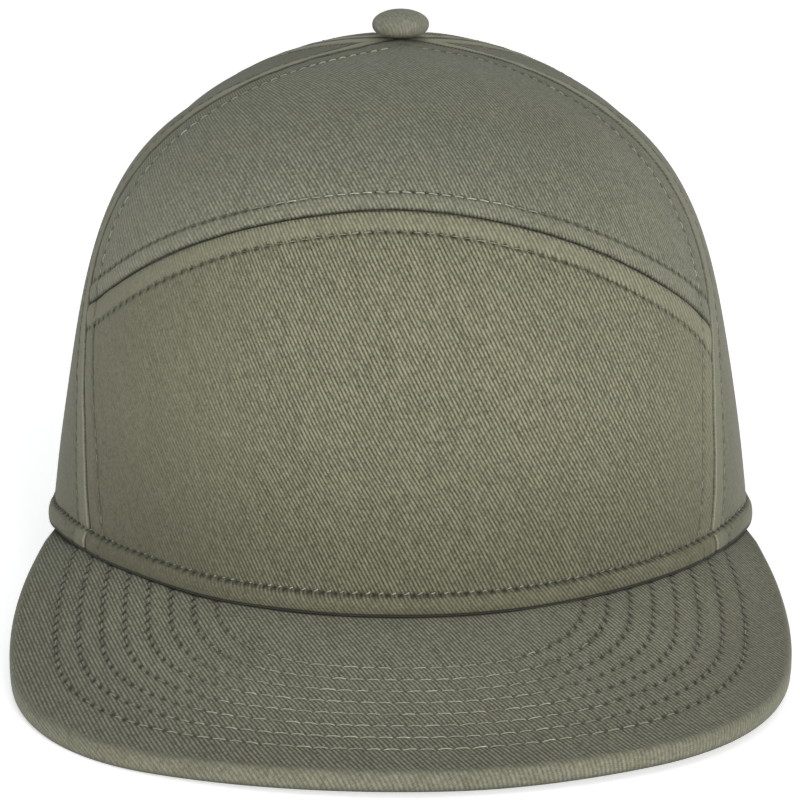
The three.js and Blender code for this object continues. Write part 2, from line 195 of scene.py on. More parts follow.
def crownPoint(azimuth, t):
    # foot on the oval, carried in and up by the blend of the front, side and rear meridians
    azimuth, t = np.broadcast_arrays(np.asarray(azimuth, float), np.asarray(t, float))
    reach = np.interp(np.abs(azimuth), ovalAzimuth, ovalReach)
    footX = reach * np.sin(azimuth)
    footY = crown["buttonY"] - reach * np.cos(azimuth)
    footZ = hemLow(footX, footY) + crown["stitchHeight"]
    c = np.cos(azimuth)
    front = np.where(c > 0, c * c * (1 + crown["frontFullness"] * (1 - c * c)), 0)
    rear = np.where(c < 0, c * c, 0)
    side = 1 - front - rear
    f = meridian(crown["frontPower"], crown["frontLean"], crown["frontPinch"], t)
    g = meridian(crown["sidePower"], crown["sideLean"], crown["sidePinch"], t)
    h = meridian(crown["rearPower"], crown["rearLean"], 0, t)
    inward = front * f[0] + side * g[0] + rear * h[0]
    upward = front * f[1] + side * g[1] + rear * h[1]
    x, y = footX * inward, (footY - crown["buttonY"]) * inward
    # drawn up a little under the button
    pulled = crown["pull"] * np.exp(-(np.hypot(x, y) / crown["pullReach"]) ** 2)
    return np.stack([x, crown["buttonY"] + y, footZ + (crown["top"] - footZ) * upward + pulled], -1)


def unit(v):
    # v over its length
    return v / np.maximum(np.linalg.norm(v, axis=-1, keepdims=True), 1e-12)


def crownTangents(azimuth, t):
    # change of the point for a radian of azimuth and for a radian of t
    d = 0.004
    low = np.clip(t - d, 0, math.pi / 2 - 2 * d)
    across = (crownPoint(azimuth + d, t) - crownPoint(azimuth - d, t)) / (2 * d)
    upward = (crownPoint(azimuth, low + 2 * d) - crownPoint(azimuth, low)) / (2 * d)
    return across, upward


def crownNormal(azimuth, t):
    # the two tangents' cross product, pointing outward
    across, upward = crownTangents(azimuth, t)
    return unit(np.cross(across, upward))


def sideSeam(t, side):
    # positive angle of the seam from the front; the two sides were not sewn quite alike
    s = np.sin(t)
    angle = crown["seamFoot"] + crown["seamSwing"] * s + crown["seamReturn"] * s * s
    for degrees, middle, width in seams["rightSway" if side > 0 else "leftSway"]:
        angle = angle + degrees * bell(t - middle, width)
    if side > 0:
        angle = angle + 10 * smoothStep(t, 1.02, 1.45)
    return np.radians(angle)


def rightSeam(t):
    return sideSeam(t, 1)


def leftSeam(t):
    return -sideSeam(t, -1)


def acrossFront(u, t):
    # u runs from -1 on the left seam to 1 on the right one
    return leftSeam(t) + (rightSeam(t) - leftSeam(t)) * (u + 1) / 2


def rightBackSeam(t):
    return np.radians(crown["backSeam"]) + 0 * t


def leftBackSeam(t):
    return -rightBackSeam(t)


def rightMiddle(t):
    return math.pi + 0 * t


def leftMiddle(t):
    return -math.pi + 0 * t


def solveRise(measure, level):
    # halving search for the t where a rising measure reaches the level, for whole arrays
    low = np.zeros(np.shape(level))
    high = np.full(np.shape(level), math.pi / 2)
    for _ in range(34):
        middle = (low + high) / 2
        under = measure(middle) < level
        low, high = np.where(under, middle, low), np.where(under, high, middle)
    return (low + high) / 2


def archT(u):
    # the arched seam's height is top - drop |u|^power, a little fuller on the left and slacker on the right
    sway = np.where(u < 0, 4.2 * np.abs(u) ** 8 + 0.5 * bell(u + 0.5, 0.25), -1.3 * bell(u - 0.72, 0.22))
    return solveRise(lambda t: crownPoint(acrossFront(u, t), t)[..., 2],
                     crown["archTop"] - crown["archDrop"] * np.abs(u) ** crown["archPower"] + sway)


def holeT(azimuthAt):
    # t where the panel has come in to the hole under the button
    def measure(t):
        p = crownPoint(azimuthAt(t), t)
        return -np.hypot(p[..., 0], p[..., 1] - crown["buttonY"])
    return solveRise(measure, np.full(np.shape(azimuthAt(0.0)), -crown["holeRadius"]))


def makeObject(name, vertices, faces, material, node, uv, marks=None, sharp=60):
    # faces are a list of arrays of vertex numbers; uv and marks are per vertex, in metres and millimetres
    mesh = bpy.data.meshes.new(name)
    mesh.from_pydata(vertices.tolist(), [], [face for part in faces for face in part.tolist()])
    mesh.update()
    loops = np.empty(len(mesh.loops), np.int32)
    mesh.loops.foreach_get("vertex_index", loops)
    layer = mesh.uv_layers.new(name="clothUv")
    layer.data.foreach_set("uv", np.ascontiguousarray(uv[loops], np.float32).ravel())
    for key, values in (marks or {}).items():
        attribute = mesh.attributes.new(key, "FLOAT2", "POINT")
        attribute.data.foreach_set("vector", np.ascontiguousarray(values, np.float32).ravel())
    mesh.polygons.foreach_set("use_smooth", np.ones(len(mesh.polygons), bool))
    mesh.set_sharp_from_angle(angle=math.radians(sharp))
    mesh.materials.append(material)
    piece = bpy.data.objects.new(name, mesh)
    bpy.context.scene.collection.objects.link(piece)
    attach(piece, "root")
    if node:
        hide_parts(node)
    return piece


def strip(a, b, c, d):
    # quads between four index arrays
    return np.stack([a.ravel(), b.ravel(), c.ravel(), d.ravel()], 1)


def shell(outer, inner, ring=False):
    # closed wall between two (column, row) grids: both faces and the strips along their borders
    columns, rows = outer.shape[:2]
    vertices = np.concatenate([outer.reshape(-1, 3), inner.reshape(-1, 3)])
    index = np.arange(columns * rows).reshape(columns, rows)
    if ring:
        index = np.concatenate([index, index[:1]])
    back = index + columns * rows
    faces = [
        strip(index[:-1, :-1], index[1:, :-1], index[1:, 1:], index[:-1, 1:]),
        strip(back[:-1, :-1], back[:-1, 1:], back[1:, 1:], back[1:, :-1]),
        strip(back[:-1, 0], back[1:, 0], index[1:, 0], index[:-1, 0]),
        strip(index[:-1, -1], index[1:, -1], back[1:, -1], back[:-1, -1]),
    ]
    if not ring:
        faces.append(strip(index[0, :-1], index[0, 1:], back[0, 1:], back[0, :-1]))
        faces.append(strip(index[-1, :-1], back[-1, :-1], back[-1, 1:], index[-1, 1:]))
    return vertices, faces


def denseNear(count, length, spots, gain=3.0, width=2.6):
    # shares from 0 to 1 whose steps are 1 + gain times smaller round the spots, given in millimetres
    x = np.linspace(0, length, 4000)
    density = np.ones_like(x)
    for spot in spots:
        density += gain * bell(x - spot, width)
    total = np.concatenate([[0], np.cumsum((density[1:] + density[:-1]) / 2)])
    return np.interp(np.linspace(0, total[-1], count), total, x) / length


def pathLength(points):
    # length of the polyline up to each of its points
    return np.concatenate([[0], np.cumsum(np.linalg.norm(np.diff(points, axis=0), axis=1))])


hemAzimuths = np.linspace(-math.pi, math.pi, 1441)
hemAlong = pathLength(crownPoint(hemAzimuths, 0 * hemAzimuths))
hemAlong -= np.interp(0, hemAzimuths, hemAlong)
# the stitches were sewn closer together beyond the middle of the front
hemAlong += np.sign(hemAlong) * 0.25 * np.maximum(np.abs(hemAlong) - 28, 0)


def hemRoll(foot, normal, azimuth, toSide, along, across, seed):
    # roll below the stitch line: out = bulge sin(a)^fullness + toe (a / pi)^3, down = (1 - cos a) / 2.
    # The points and distances that come in lie on the stitch line.
    a = np.linspace(math.pi, 0, hem["rows"], endpoint=False)[None, :, None]
    flat = unit(normal * [1, 1, 0])
    frontness = np.clip(np.cos(azimuth), 0, 1)[..., None] ** 2
    toe = hem["toeRear"] + (hem["toeFront"] - hem["toeRear"]) * frontness
    bulge = hem["rearBulge"] + (hem["bulge"] - hem["rearBulge"]) * np.sqrt(frontness)
    out = bulge * np.sin(a) ** hem["fullness"] + toe * (a / math.pi) ** 3
    # drawn in at the side seams, at the stitch line and between the stitches
    seamPull = bell(toSide, 0.8)[..., None] * hem["seamPull"]
    wave = wander(across, a[..., 0] * 2, seed, 9, 22)[..., None]
    out = out - seamPull * np.sin(a) + hem["wave"] * wave * np.sin(a)
    down = (1 - np.cos(a)) / 2
    drawn = down * crown["stitchHeight"]
    out = out - seams["hemDip"] * bell(drawn, seams["hemDipWidth"])
    beat = np.cos(along * 2 * math.pi / seams["hemStitchLength"])[..., None]
    out = out - hem["scallop"] * (0.5 + 0.5 * beat) * bell(drawn - 0.8, 0.9)
    outer = foot + flat * out
    inner = foot - flat * (crown["hemWall"] + 0 * a)
    for grid in (outer, inner):
        grid[..., 2] = foot[..., 2] + (hemLow(grid[..., 0], grid[..., 1]) - foot[..., 2]) * down[..., 0]
    return outer, inner, down[..., 0] * (crown["stitchHeight"] + hem["wrap"]) + 0 * foot[..., 2]


def crownPanel(name, left, right, columns, rows, material, high, seed, low=None):
    # left and right give the border azimuths for t; share 0 lies on left, share 1 on right
    hasHem = low is None
    isFront = name.startswith("front")
    foot = np.linspace(left(0.0), right(0.0), 60)
    widest = pathLength(crownPoint(foot, 0 * foot))[-1]
    inset = seams["stitchInset"]
    share = denseNear(columns, widest, [0, inset, widest - inset, widest])[:, None]

    def azimuthAt(t):
        edge = 0.05 / np.maximum(widest * np.cos(np.minimum(t, 1.5)), crown["holeRadius"])
        s = edge + share * (1 - 2 * edge)
        return left(t) + (right(t) - left(t)) * s
    lowT = np.zeros_like(share) if hasHem else low(share)
    highT = high(share, azimuthAt)
    climb = crownPoint(azimuthAt(lowT + 0.5 * (highT - lowT)), highT) - crownPoint(azimuthAt(lowT), lowT)
    height = float(np.linalg.norm(climb, axis=-1).max()) * 1.15
    spots = [0, 0 if hasHem else seams["upperInset"]] \
        + ([height, height - seams["lowerInset"]] if isFront else [])
    rise = denseNear(rows, height, spots)[None, :]
    t = lowT + (highT - lowT) * rise
    azimuth = azimuthAt(t)
    across, upward = crownTangents(azimuth, t)
    point = crownPoint(azimuth, t)
    normal = unit(np.cross(across, upward))
    acrossLength = np.linalg.norm(across, axis=-1)

    # distances along the cloth to the two side borders, and to the arched seam or hem
    toLeft = (azimuth - left(t)) * acrossLength
    toRight = (right(t) - azimuth) * acrossLength
    toSide = np.minimum(toLeft, toRight)
    gapT = np.linspace(0, math.pi / 2 - 0.02, 400)
    leftAlong = np.interp(t, gapT, pathLength(crownPoint(left(gapT), gapT)))
    rightAlong = np.interp(t, gapT, pathLength(crownPoint(right(gapT), gapT)))
    sideAlong = np.where(toLeft < toRight, leftAlong, rightAlong)
    rowStep = np.linalg.norm(np.diff(point, axis=1), axis=-1)
    fromLow = np.concatenate([np.zeros((columns, 1)), np.cumsum(rowStep, axis=1)], axis=1)
    toHigh = fromLow[:, -1:] - fromLow
    marks = {"sideMarks": (sideAlong, toSide)}
    lift = -seams["dip"] * bell(toSide, seams["dipWidth"])
    lift += seams["sidePuff"] * smoothStep(toSide, 0.4, 2.2) * (1 - smoothStep(toSide, 4.2, 6.0))
    topFade = 1 - smoothStep(t, 1.40, 1.54)
    lift -= seams["grooveDepth"] * bell(toSide - inset, seams["grooveWidth"]) * topFade
    if isFront:
        edge = -1 if hasHem else 0
        archInset = seams["lowerInset"] if hasHem else seams["upperInset"]
        line = point[:, edge]
        tangent = unit(np.gradient(line, axis=0))
        climbing = unit(upward[:, edge])
        square = np.sqrt(np.maximum(1 - (tangent * climbing).sum(-1) ** 2, 0.05))[:, None]
        archEdge = (toHigh if hasHem else fromLow) * square
        archAlong = np.repeat(pathLength(line)[:, None], rows, axis=1)
        marks["archMarks"] = (archAlong, archEdge)
        lift -= seams["dip"] * bell(archEdge, seams["dipWidth"])
        lift += seams["archPuff"] * smoothStep(archEdge, 0.4, 2.4) \
            * (1 - smoothStep(archEdge, archInset - 2.4, archInset + 0.2))
        lift -= seams["grooveDepth"] * 1.2 * bell(archEdge - archInset, seams["grooveWidth"])
    hemDistance = fromLow if hasHem else fromLow + farAway
    lift -= seams["hemDip"] * bell(hemDistance, seams["hemDipWidth"])
    nearSeam = bell(toSide - 3, 5.0)
    if isFront:
        nearSeam = np.maximum(nearSeam, bell(archEdge - 3, 5.0))
    if hasHem:
        nearSeam = np.maximum(nearSeam, bell(hemDistance, 6.0))
    cloth = np.stack([(azimuth - (left(t) + right(t)) / 2) * acrossLength, hemDistance], -1)
    lift += seams["ripple"] * nearSeam * wander(cloth[..., 0], cloth[..., 1], seed, 6, 14)
    wave = wander(cloth[..., 0], cloth[..., 1], seed + 50, 34, 80)
    lift += seams["waviness"] * wave * smoothStep(toSide, 2, 20)
    if not isFront:
        lift += seams["ridge"] * bell(toSide - 0.8, 0.5) * topFade
    outer = point + normal * lift[..., None]
    inner = point - normal * crown["wall"]
    marks["hemMarks"] = (np.interp(azimuth, hemAzimuths, hemAlong), hemDistance)
    marks = {key: np.stack(value, -1) for key, value in marks.items()}

    if hasHem:
        rollOuter, rollInner, drop = hemRoll(point[:, :1], normal[:, :1], azimuth[:, :1], toSide[:, :1],
                                             marks["hemMarks"][:, :1, 0], cloth[:, :1, 0], seed + 9)
        rollCloth = np.stack([cloth[:, :1, 0] + 0 * drop, -drop], -1)
        rollMarks = {
            "sideMarks": np.stack([sideAlong[:, :1] - drop, toSide[:, :1] + 0 * drop], -1),
            "archMarks": np.stack([drop * 0, drop * 0 + farAway], -1),
            "hemMarks": np.stack([marks["hemMarks"][:, :1, 0] + 0 * drop, -drop], -1),
        }
        outer = np.concatenate([rollOuter, outer], 1)
        inner = np.concatenate([rollInner, inner], 1)
        cloth = np.concatenate([rollCloth, cloth], 1)
        marks = {key: np.concatenate([rollMarks[key], marks[key]], 1) for key in marks}
    vertices, faces = shell(toFrame(outer), toFrame(inner))
    uv = np.concatenate([cloth.reshape(-1, 2)] * 2) * millimetre
    flatMarks = {key: np.concatenate([value.reshape(-1, 2)] * 2) for key, value in marks.items()}
    # the inner face has no seams drawn on it
    for value in flatMarks.values():
        value[len(uv) // 2:, 1] = farAway
    return makeObject(name, vertices, faces, material, name.replace("_cloth", ""), uv, flatMarks)


def newGroup(name, vector, numbers, results):
    # a shader group with one vector and some numbers coming in, and some numbers going out
    group = bpy.data.node_groups.new(name, "ShaderNodeTree")
    group.interface.new_socket(name=vector, in_out="INPUT", socket_type="NodeSocketVector")
    for label, value in numbers.items():
        socket = group.interface.new_socket(name=label, in_out="INPUT", socket_type="NodeSocketFloat")
        socket.default_value = value
    for label in results:
        group.interface.new_socket(name=label, in_out="OUTPUT", socket_type="NodeSocketFloat")
    return Wiring(group), group.nodes.new("NodeGroupInput").outputs, group.nodes.new("NodeGroupOutput").inputs


class Wiring:
    # short forms for math nodes in one node tree
    def __init__(self, tree):
        self.tree = tree

    def node(self, kind, **settings):
        made = self.tree.nodes.new(kind)
        for key, value in settings.items():
            setattr(made, key, value)
        return made

    def link(self, source, target):
        self.tree.links.new(source, target)

    def feed(self, socket, value):
        if isinstance(value, bpy.types.NodeSocket):
            self.link(value, socket)
        else:
            socket.default_value = value

    def math(self, operation, a, b=0.0, c=None, clamp=False):
        made = self.node("ShaderNodeMath", operation=operation, use_clamp=clamp)
        self.feed(made.inputs[0], a)
        self.feed(made.inputs[1], b)
        if c is not None:
            self.feed(made.inputs[2], c)
        return made.outputs[0]

    def plus(self, a, b, clamp=False):
        return self.math("ADD", a, b, clamp=clamp)

    def minus(self, a, b):
        return self.math("SUBTRACT", a, b)

    def times(self, a, b):
        return self.math("MULTIPLY", a, b)

    def marks(self, key):
        return self.node("ShaderNodeAttribute", attribute_name=key, attribute_type="GEOMETRY").outputs["Vector"]

    def split(self, vector):
        made = self.node("ShaderNodeSeparateXYZ")
        self.link(vector, made.inputs[0])
        return made.outputs

    def join(self, x, y, z=0.0):
        made = self.node("ShaderNodeCombineXYZ")
        for socket, value in zip(made.inputs, (x, y, z)):
            self.feed(socket, value)
        return made.outputs[0]

    def noise(self, vector, scale, detail=2.0, roughness=0.5):
        made = self.node("ShaderNodeTexNoise", noise_dimensions="3D")
        self.link(vector, made.inputs["Vector"])
        made.inputs["Scale"].default_value = scale
        made.inputs["Detail"].default_value = detail
        made.inputs["Roughness"].default_value = roughness
        return made.outputs["Fac"]

    def ramp(self, value, low, high, toLow=0.0, toHigh=1.0, smooth=True):
        made = self.node("ShaderNodeMapRange", clamp=True,
                         interpolation_type="SMOOTHSTEP" if smooth else "LINEAR")
        self.feed(made.inputs["Value"], value)
        made.inputs["From Min"].default_value = low
        made.inputs["From Max"].default_value = high
        made.inputs["To Min"].default_value = toLow
        made.inputs["To Max"].default_value = toHigh
        return made.outputs["Result"]

    def bell(self, value, width):
        # e to the power of minus (value / width) squared
        s = self.math("DIVIDE", value, width)
        return self.math("POWER", math.e, self.times(self.times(s, s), -1.0))

    def mixColor(self, factor, a, b, blend="MIX"):
        made = self.node("ShaderNodeMix", data_type="RGBA", blend_type=blend)
        self.feed(made.inputs["Factor"], factor)
        self.feed(made.inputs["A"], a)
        self.feed(made.inputs["B"], b)
        return made.outputs["Result"]


def twillGroup():
    # diagonal wales: u across them and v along them, wave = cos(2 pi u / pitch), stepped by short floats
    w, given, result = newGroup(
        "twillWeave", "Coord", {"Angle": 68.0, "Pitch": 1.0, "Wander": 0.25, "Step": 0.15, "Float Length": 0.8},
        ["Height", "Wale", "Yarn", "Float"])
    coord = given["Coord"]
    x, y, _ = w.split(coord)
    angle = w.math("RADIANS", given["Angle"])
    c, s = w.math("COSINE", angle), w.math("SINE", angle)
    drift = w.times(w.minus(w.noise(coord, 0.09, 3.0, 0.6), 0.5), given["Wander"])
    across = w.plus(w.plus(w.times(x, s), w.times(y, c)), w.times(drift, 4.0))
    along = w.minus(w.times(x, c), w.times(y, s))
    turns = w.math("DIVIDE", across, given["Pitch"])
    wave = w.math("COSINE", w.times(turns, 2 * math.pi))
    wale = w.math("MULTIPLY_ADD", wave, 0.5, 0.5)
    number = w.math("FLOOR", w.plus(turns, 0.5))
    # a float is Float Length pitches long and starts at its own place on each wale; Step is how deep its ends dip
    floatSpan = w.times(given["Pitch"], given["Float Length"])
    floats = w.plus(w.math("DIVIDE", along, floatSpan), w.times(number, 0.37))
    beat = w.math("MULTIPLY_ADD", w.math("COSINE", w.times(floats, 2 * math.pi)), 0.5, 0.5)
    # every float has a brightness of its own
    single = w.node("ShaderNodeTexWhiteNoise", noise_dimensions="2D")
    w.link(w.join(number, w.math("FLOOR", floats)), single.inputs["Vector"])
    streak = w.noise(w.join(w.times(number, 7.31), w.times(along, 0.11)), 1.0, 2.0, 0.6)
    fibre = w.noise(w.join(w.times(across, 1.6), w.times(along, 0.8)), 2.4, 3.0, 0.7)
    height = w.plus(w.times(wale, w.math("MULTIPLY_ADD", beat, 0.3, 0.7)),
                    w.times(fibre, 0.35))
    w.link(height, result["Height"])
    dipped = w.minus(1.0, w.times(w.minus(1.0, beat), given["Step"]))
    w.link(w.times(wale, dipped), result["Wale"])
    w.link(w.plus(w.times(streak, 0.6), w.times(fibre, 0.4)), result["Yarn"])
    w.link(w.times(w.minus(single.outputs["Value"], 0.5), wale), result["Float"])
    return w.tree


def needleGroup():
    # Marks hold the length along a seam line and the distance from it, in millimetres. A hole sits at each
    # stitch length along each of the Rows lines from Inset on; the furrow is what the thread pulls in.
    w, given, result = newGroup(
        "needleLine", "Marks", {"Inset": 6.0, "Pitch": 5.24, "Rows": 1.0, "Length": 3.25, "Hole Length": 0.5,
                                "Hole Width": 0.42, "Seam Width": 0.36},
        ["Hole", "Furrow", "Seam", "Ridge", "Strip"])
    along, off, _ = w.split(given["Marks"])
    past = w.minus(off, given["Inset"])
    number = w.math("ROUND", w.math("DIVIDE", past, given["Pitch"]))
    number = w.math("MAXIMUM", w.math("MINIMUM", number, w.minus(given["Rows"], 1.0)), 0.0)
    beside = w.minus(past, w.times(number, given["Pitch"]))
    turns = w.math("DIVIDE", along, given["Length"])
    near = w.times(w.minus(w.math("FRACT", w.plus(turns, 0.5)), 0.5),
                  given["Length"])
    w.link(w.times(w.bell(near, given["Hole Length"]), w.bell(beside, given["Hole Width"])),
           result["Hole"])
    w.link(w.bell(beside, 0.45), result["Furrow"])
    # the folded edge is not quite straight
    unevenness = w.minus(w.noise(given["Marks"], 2.0, 3.0, 0.7), 0.5)
    rough = w.plus(off, w.times(unevenness, 0.7))
    w.link(w.bell(rough, given["Seam Width"]), result["Seam"])
    w.link(w.bell(w.minus(rough, 0.75), 0.32), result["Ridge"])
    w.link(w.times(w.ramp(off, 0.6, 1.6), w.ramp(off, 3.8, 5.8, 1.0, 0.0)), result["Strip"])
    return w.tree


def unevenGroup():
    # slow mottling and fine grain, from object coordinates in metres
    w, given, result = newGroup("unevenDye", "Coord", {}, ["Cloud", "Grain"])
    w.link(w.noise(given["Coord"], 28.0, 4.0, 0.55), result["Cloud"])
    w.link(w.noise(given["Coord"], 1150.0, 4.0, 0.85), result["Grain"])
    return w.tree


twill, needle, uneven = twillGroup(), needleGroup(), unevenGroup()


def groupNode(w, group, **values):
    # a node of the group with its inputs fed, given back as its outputs
    made = w.node("ShaderNodeGroup")
    made.node_tree = group
    for key, value in values.items():
        w.feed(made.inputs[key], value)
    return made.outputs


def clothMaterial(name, look):
    # twill over uneven dye, then the look's lines and shades painted on in turn, with a bump for the relief
    material = bpy.data.materials.new(name)
    material.use_nodes = True
    tree = material.node_tree
    tree.nodes.clear()
    w = Wiring(tree)
    shader = w.node("ShaderNodeBsdfPrincipled")
    output = w.node("ShaderNodeOutputMaterial")
    w.link(shader.outputs[0], output.inputs[0])
    uvMap = w.node("ShaderNodeUVMap", uv_map="clothUv").outputs[0]
    scaled = w.node("ShaderNodeVectorMath", operation="SCALE")
    w.link(uvMap, scaled.inputs[0])
    scaled.inputs["Scale"].default_value = 1000.0
    place = w.node("ShaderNodeTexCoord").outputs["Object"]
    weave = groupNode(w, twill, Coord=scaled.outputs[0], Angle=look["angle"], Pitch=look["pitch"],
                      Wander=look["wander"], Step=look["step"], **{"Float Length": look["floatLength"]})
    dye = groupNode(w, uneven, Coord=place)

    # the weave is pressed flatter towards both sides of the cap
    sideways = w.split(place)[0]
    clear = w.times(w.ramp(sideways, -0.072, -0.018, look["leftClear"], 1.0),
                   w.ramp(sideways, 0.052, 0.079, 1.0, look["rightClear"]))
    for key, axis, low, high, strength in look["fades"]:
        fade = w.times(w.ramp(w.split(w.marks(key))[axis], low, high), strength)
        clear = w.times(clear, w.minus(1.0, fade))
    # tone of the cloth: wale tops light, valleys dark, each yarn a little different
    waleTone = w.times(w.minus(weave["Wale"], 0.5 - 0.25 * look["step"]), clear)
    tone = w.plus(w.times(waleTone, look["contrast"]),
                  w.times(w.minus(weave["Yarn"], 0.5), look["yarn"]))
    tone = w.plus(tone, w.times(w.minus(dye["Grain"], 0.5), look["grain"]))
    tone = w.plus(tone, w.times(w.times(weave["Float"], clear), look["speckle"]))
    if look["toned"]:
        tone = w.plus(tone, w.minus(w.split(w.marks("toneMarks"))[0], 0.5))
    tone = w.plus(tone, 0.5, clamp=True)
    color = w.mixColor(tone, look["dark"], look["light"])
    cloud = w.ramp(dye["Cloud"], 0.3, 0.7)
    color = w.mixColor(cloud, color, w.mixColor(1.0, color, look["tint"], "MULTIPLY"))
    height = w.times(w.times(weave["Height"], clear), look["relief"])
    for key, settings in look["lines"].items():
        marks = w.marks(key)
        line = groupNode(w, needle, Marks=marks, Inset=settings["inset"], Pitch=brim["rowPitch"],
                         Rows=settings["rows"], Length=settings["length"],
                         **{"Hole Length": settings["holeLength"], "Hole Width": settings["holeWidth"],
                            "Seam Width": settings["seamWidth"]})
        # painted highlight: the folded edge of the two front side seams is painted pale where it catches the
        # light, most on its lower part
        _, depth, level = w.split(place)
        ridge = w.times(w.ramp(level, 0.055, 0.085, settings["ridge"], 0.3 * settings["ridge"]),
                        w.ramp(depth, 0.0, 0.02, 1.0, 0.1))
        # painted highlight: the strip of folded edge beside a seam is painted paler, more near the top of the
        # crown
        stripHighlight = w.plus(settings["strip"], w.ramp(level, 0.108, 0.124, 0.0, settings["topStrip"]))
        # the painted shade of the holes is weaker where a row of the brim runs across the front, near the start
        # of its length
        reach = w.math("ABSOLUTE", w.split(marks)[0])
        hole = w.times(w.ramp(reach, *settings["frontFade"]), settings["hole"])
        # painted shade: the holes, furrows and seam lines are painted in the deep colour, over real dips in the
        # bump and the geometry
        for part, strength, paint in (("Ridge", ridge, "pale"), ("Strip", stripHighlight, "stripHighlight"), ("Hole", hole, "deep"),
                                      ("Furrow", settings["furrow"], "deep"), ("Seam", settings["seam"], "deep")):
            color = w.mixColor(w.times(line[part], strength), color, look[paint])
        height = w.minus(height, w.plus(w.times(line["Hole"], 0.35), w.times(line["Furrow"], settings["dent"])))
    # painted light and shade: each of the look's shades mixes its colour in by place or by marks
    for key, axis, low, high, strength, paint in look["shades"]:
        shade = w.ramp(w.split(place if key == "place" else w.marks(key))[axis], low, high)
        color = w.mixColor(w.times(shade, strength), color, look[paint])
    w.link(color, shader.inputs["Base Color"])
    w.link(w.math("MULTIPLY_ADD", weave["Yarn"], 0.16, look["roughness"] - 0.08), shader.inputs["Roughness"])
    bump = w.node("ShaderNodeBump")
    bump.inputs["Strength"].default_value = 1.0
    bump.inputs["Distance"].default_value = 0.001
    w.link(height, bump.inputs["Height"])
    w.link(bump.outputs[0], shader.inputs["Normal"])
    shader.inputs["Specular IOR Level"].default_value = 0.25
    shader.inputs["Sheen Weight"].default_value = look["sheen"]
    shader.inputs["Sheen Roughness"].default_value = 0.55
    shader.inputs["Sheen Tint"].default_value = (0.9, 0.92, 0.8, 1)
    return material


def linear(r, g, b):
    # sRGB out of 255 to a linear colour
    v = np.array([r, g, b]) / 255.0
    return (*(float(c) for c in np.where(v <= 0.04045, v / 12.92, ((v + 0.055) / 1.055) ** 2.4)), 1.0)


# A look holds the weave's sizes in millimetres and degrees, the strength of each unevenness, the colours, and how
# clear the weave stays at the left and right. Its lines are the seams and rows drawn on the cloth. A fade is
# (marks, axis, from, to, strength) and takes the weave away; a shade is the same with the colour it paints, and
# is
# painted light: deep and the contact shadow colour paint shade, pale and the strip highlight colour paint
# highlights.
baseLook = {
    "angle": 63.8, "pitch": 0.845, "wander": 0.1, "contrast": 0.76, "yarn": 0.5, "grain": 1.1, "speckle": 0.45,
    "step": 0.14, "floatLength": 0.8, "fades": [],
    "dark": linear(49, 47, 34), "light": linear(138, 136, 113), "tint": (0.94, 0.955, 0.955, 1.0),
    "stripHighlight": linear(140, 139, 118), "pale": linear(176, 174, 151),
    "deep": linear(26, 24, 14), "contactShadow": linear(15, 12, 6),
    "relief": 0.08, "roughness": 0.88, "sheen": 0.12, "leftClear": 0.06, "rightClear": 0.2,
    "lines": {}, "shades": [], "toned": False,
}
sideLine = {
    "inset": 6.0, "rows": 1, "length": seams["stitchLength"], "holeLength": 0.45, "holeWidth": 0.42, "hole": 0.22,
    "strip": 0.1, "topStrip": 0.0, "ridge": 0.0, "furrow": 0.06, "seam": 0.85, "seamWidth": 0.36, "dent": 0.08,
    "frontFade": (0, 1, 1.0, 1.0),
}
archLine = dict(sideLine, strip=0.25, seam=0.97, hole=0.98, furrow=0.14, inset=seams["lowerInset"],
                holeLength=0.52, holeWidth=0.46)
hemLine = dict(sideLine, inset=0.0, strip=0.0, seam=0.0, furrow=0.12, hole=0.95,
               length=seams["hemStitchLength"], holeLength=0.56, holeWidth=0.44)
rowLine = dict(hemLine, inset=brim["rowInset"], rows=brim["rows"], furrow=0.1, hole=1.0,
               length=seams["rowStitchLength"], holeLength=0.72, holeWidth=0.7, frontFade=(10, 70, 0.1, 1.0))
# painted shadow: the lowest part of the hem roll, where it meets the brim, is painted nearly black
underHemShadow = ("hemMarks", 1, -5.4, -6.0, 0.92, "contactShadow")
# painted shade: the front cloth is painted darker towards the left of the cap and towards the bottom
crownLook = dict(baseLook, lines={"sideMarks": sideLine, "archMarks": archLine, "hemMarks": hemLine},
                 shades=[underHemShadow, ("place", 0, -0.03, -0.075, 0.17, "deep"),
                         ("place", 2, 0.06, 0.022, 0.19, "deep")],
                 fades=[("hemMarks", 1, -0.3, -1.3, 0.3)])
# painted shade: the upper front panel is painted darker near the side seams and towards the right of the cap
upperLook = dict(crownLook, light=linear(141, 141, 122), dark=linear(56, 55, 45), contrast=0.62,
                 leftClear=0.45, rightClear=0.45, fades=[],
                 lines={"sideMarks": dict(sideLine, strip=0.0, seam=0.97, seamWidth=0.62, hole=0.5),
                        "archMarks": dict(archLine, inset=seams["upperInset"], hole=0.95, strip=0.15,
                                          furrow=0.3)},
                 shades=[("sideMarks", 1, 12.0, 2.0, 0.16, "deep"), ("place", 0, 0.0, 0.045, 0.1, "deep")])
# painted shade: the side and back panels use a darker copy of the front cloth's colours
sideLook = dict(crownLook, light=linear(125, 124, 105), dark=linear(45, 44, 34), contrast=0.5, shades=[underHemShadow],
                lines={"sideMarks": dict(sideLine, ridge=0.42, seam=0.6, seamWidth=0.45, hole=0.08, furrow=0.03,
                                         strip=0.22, topStrip=0.75), "hemMarks": hemLine})
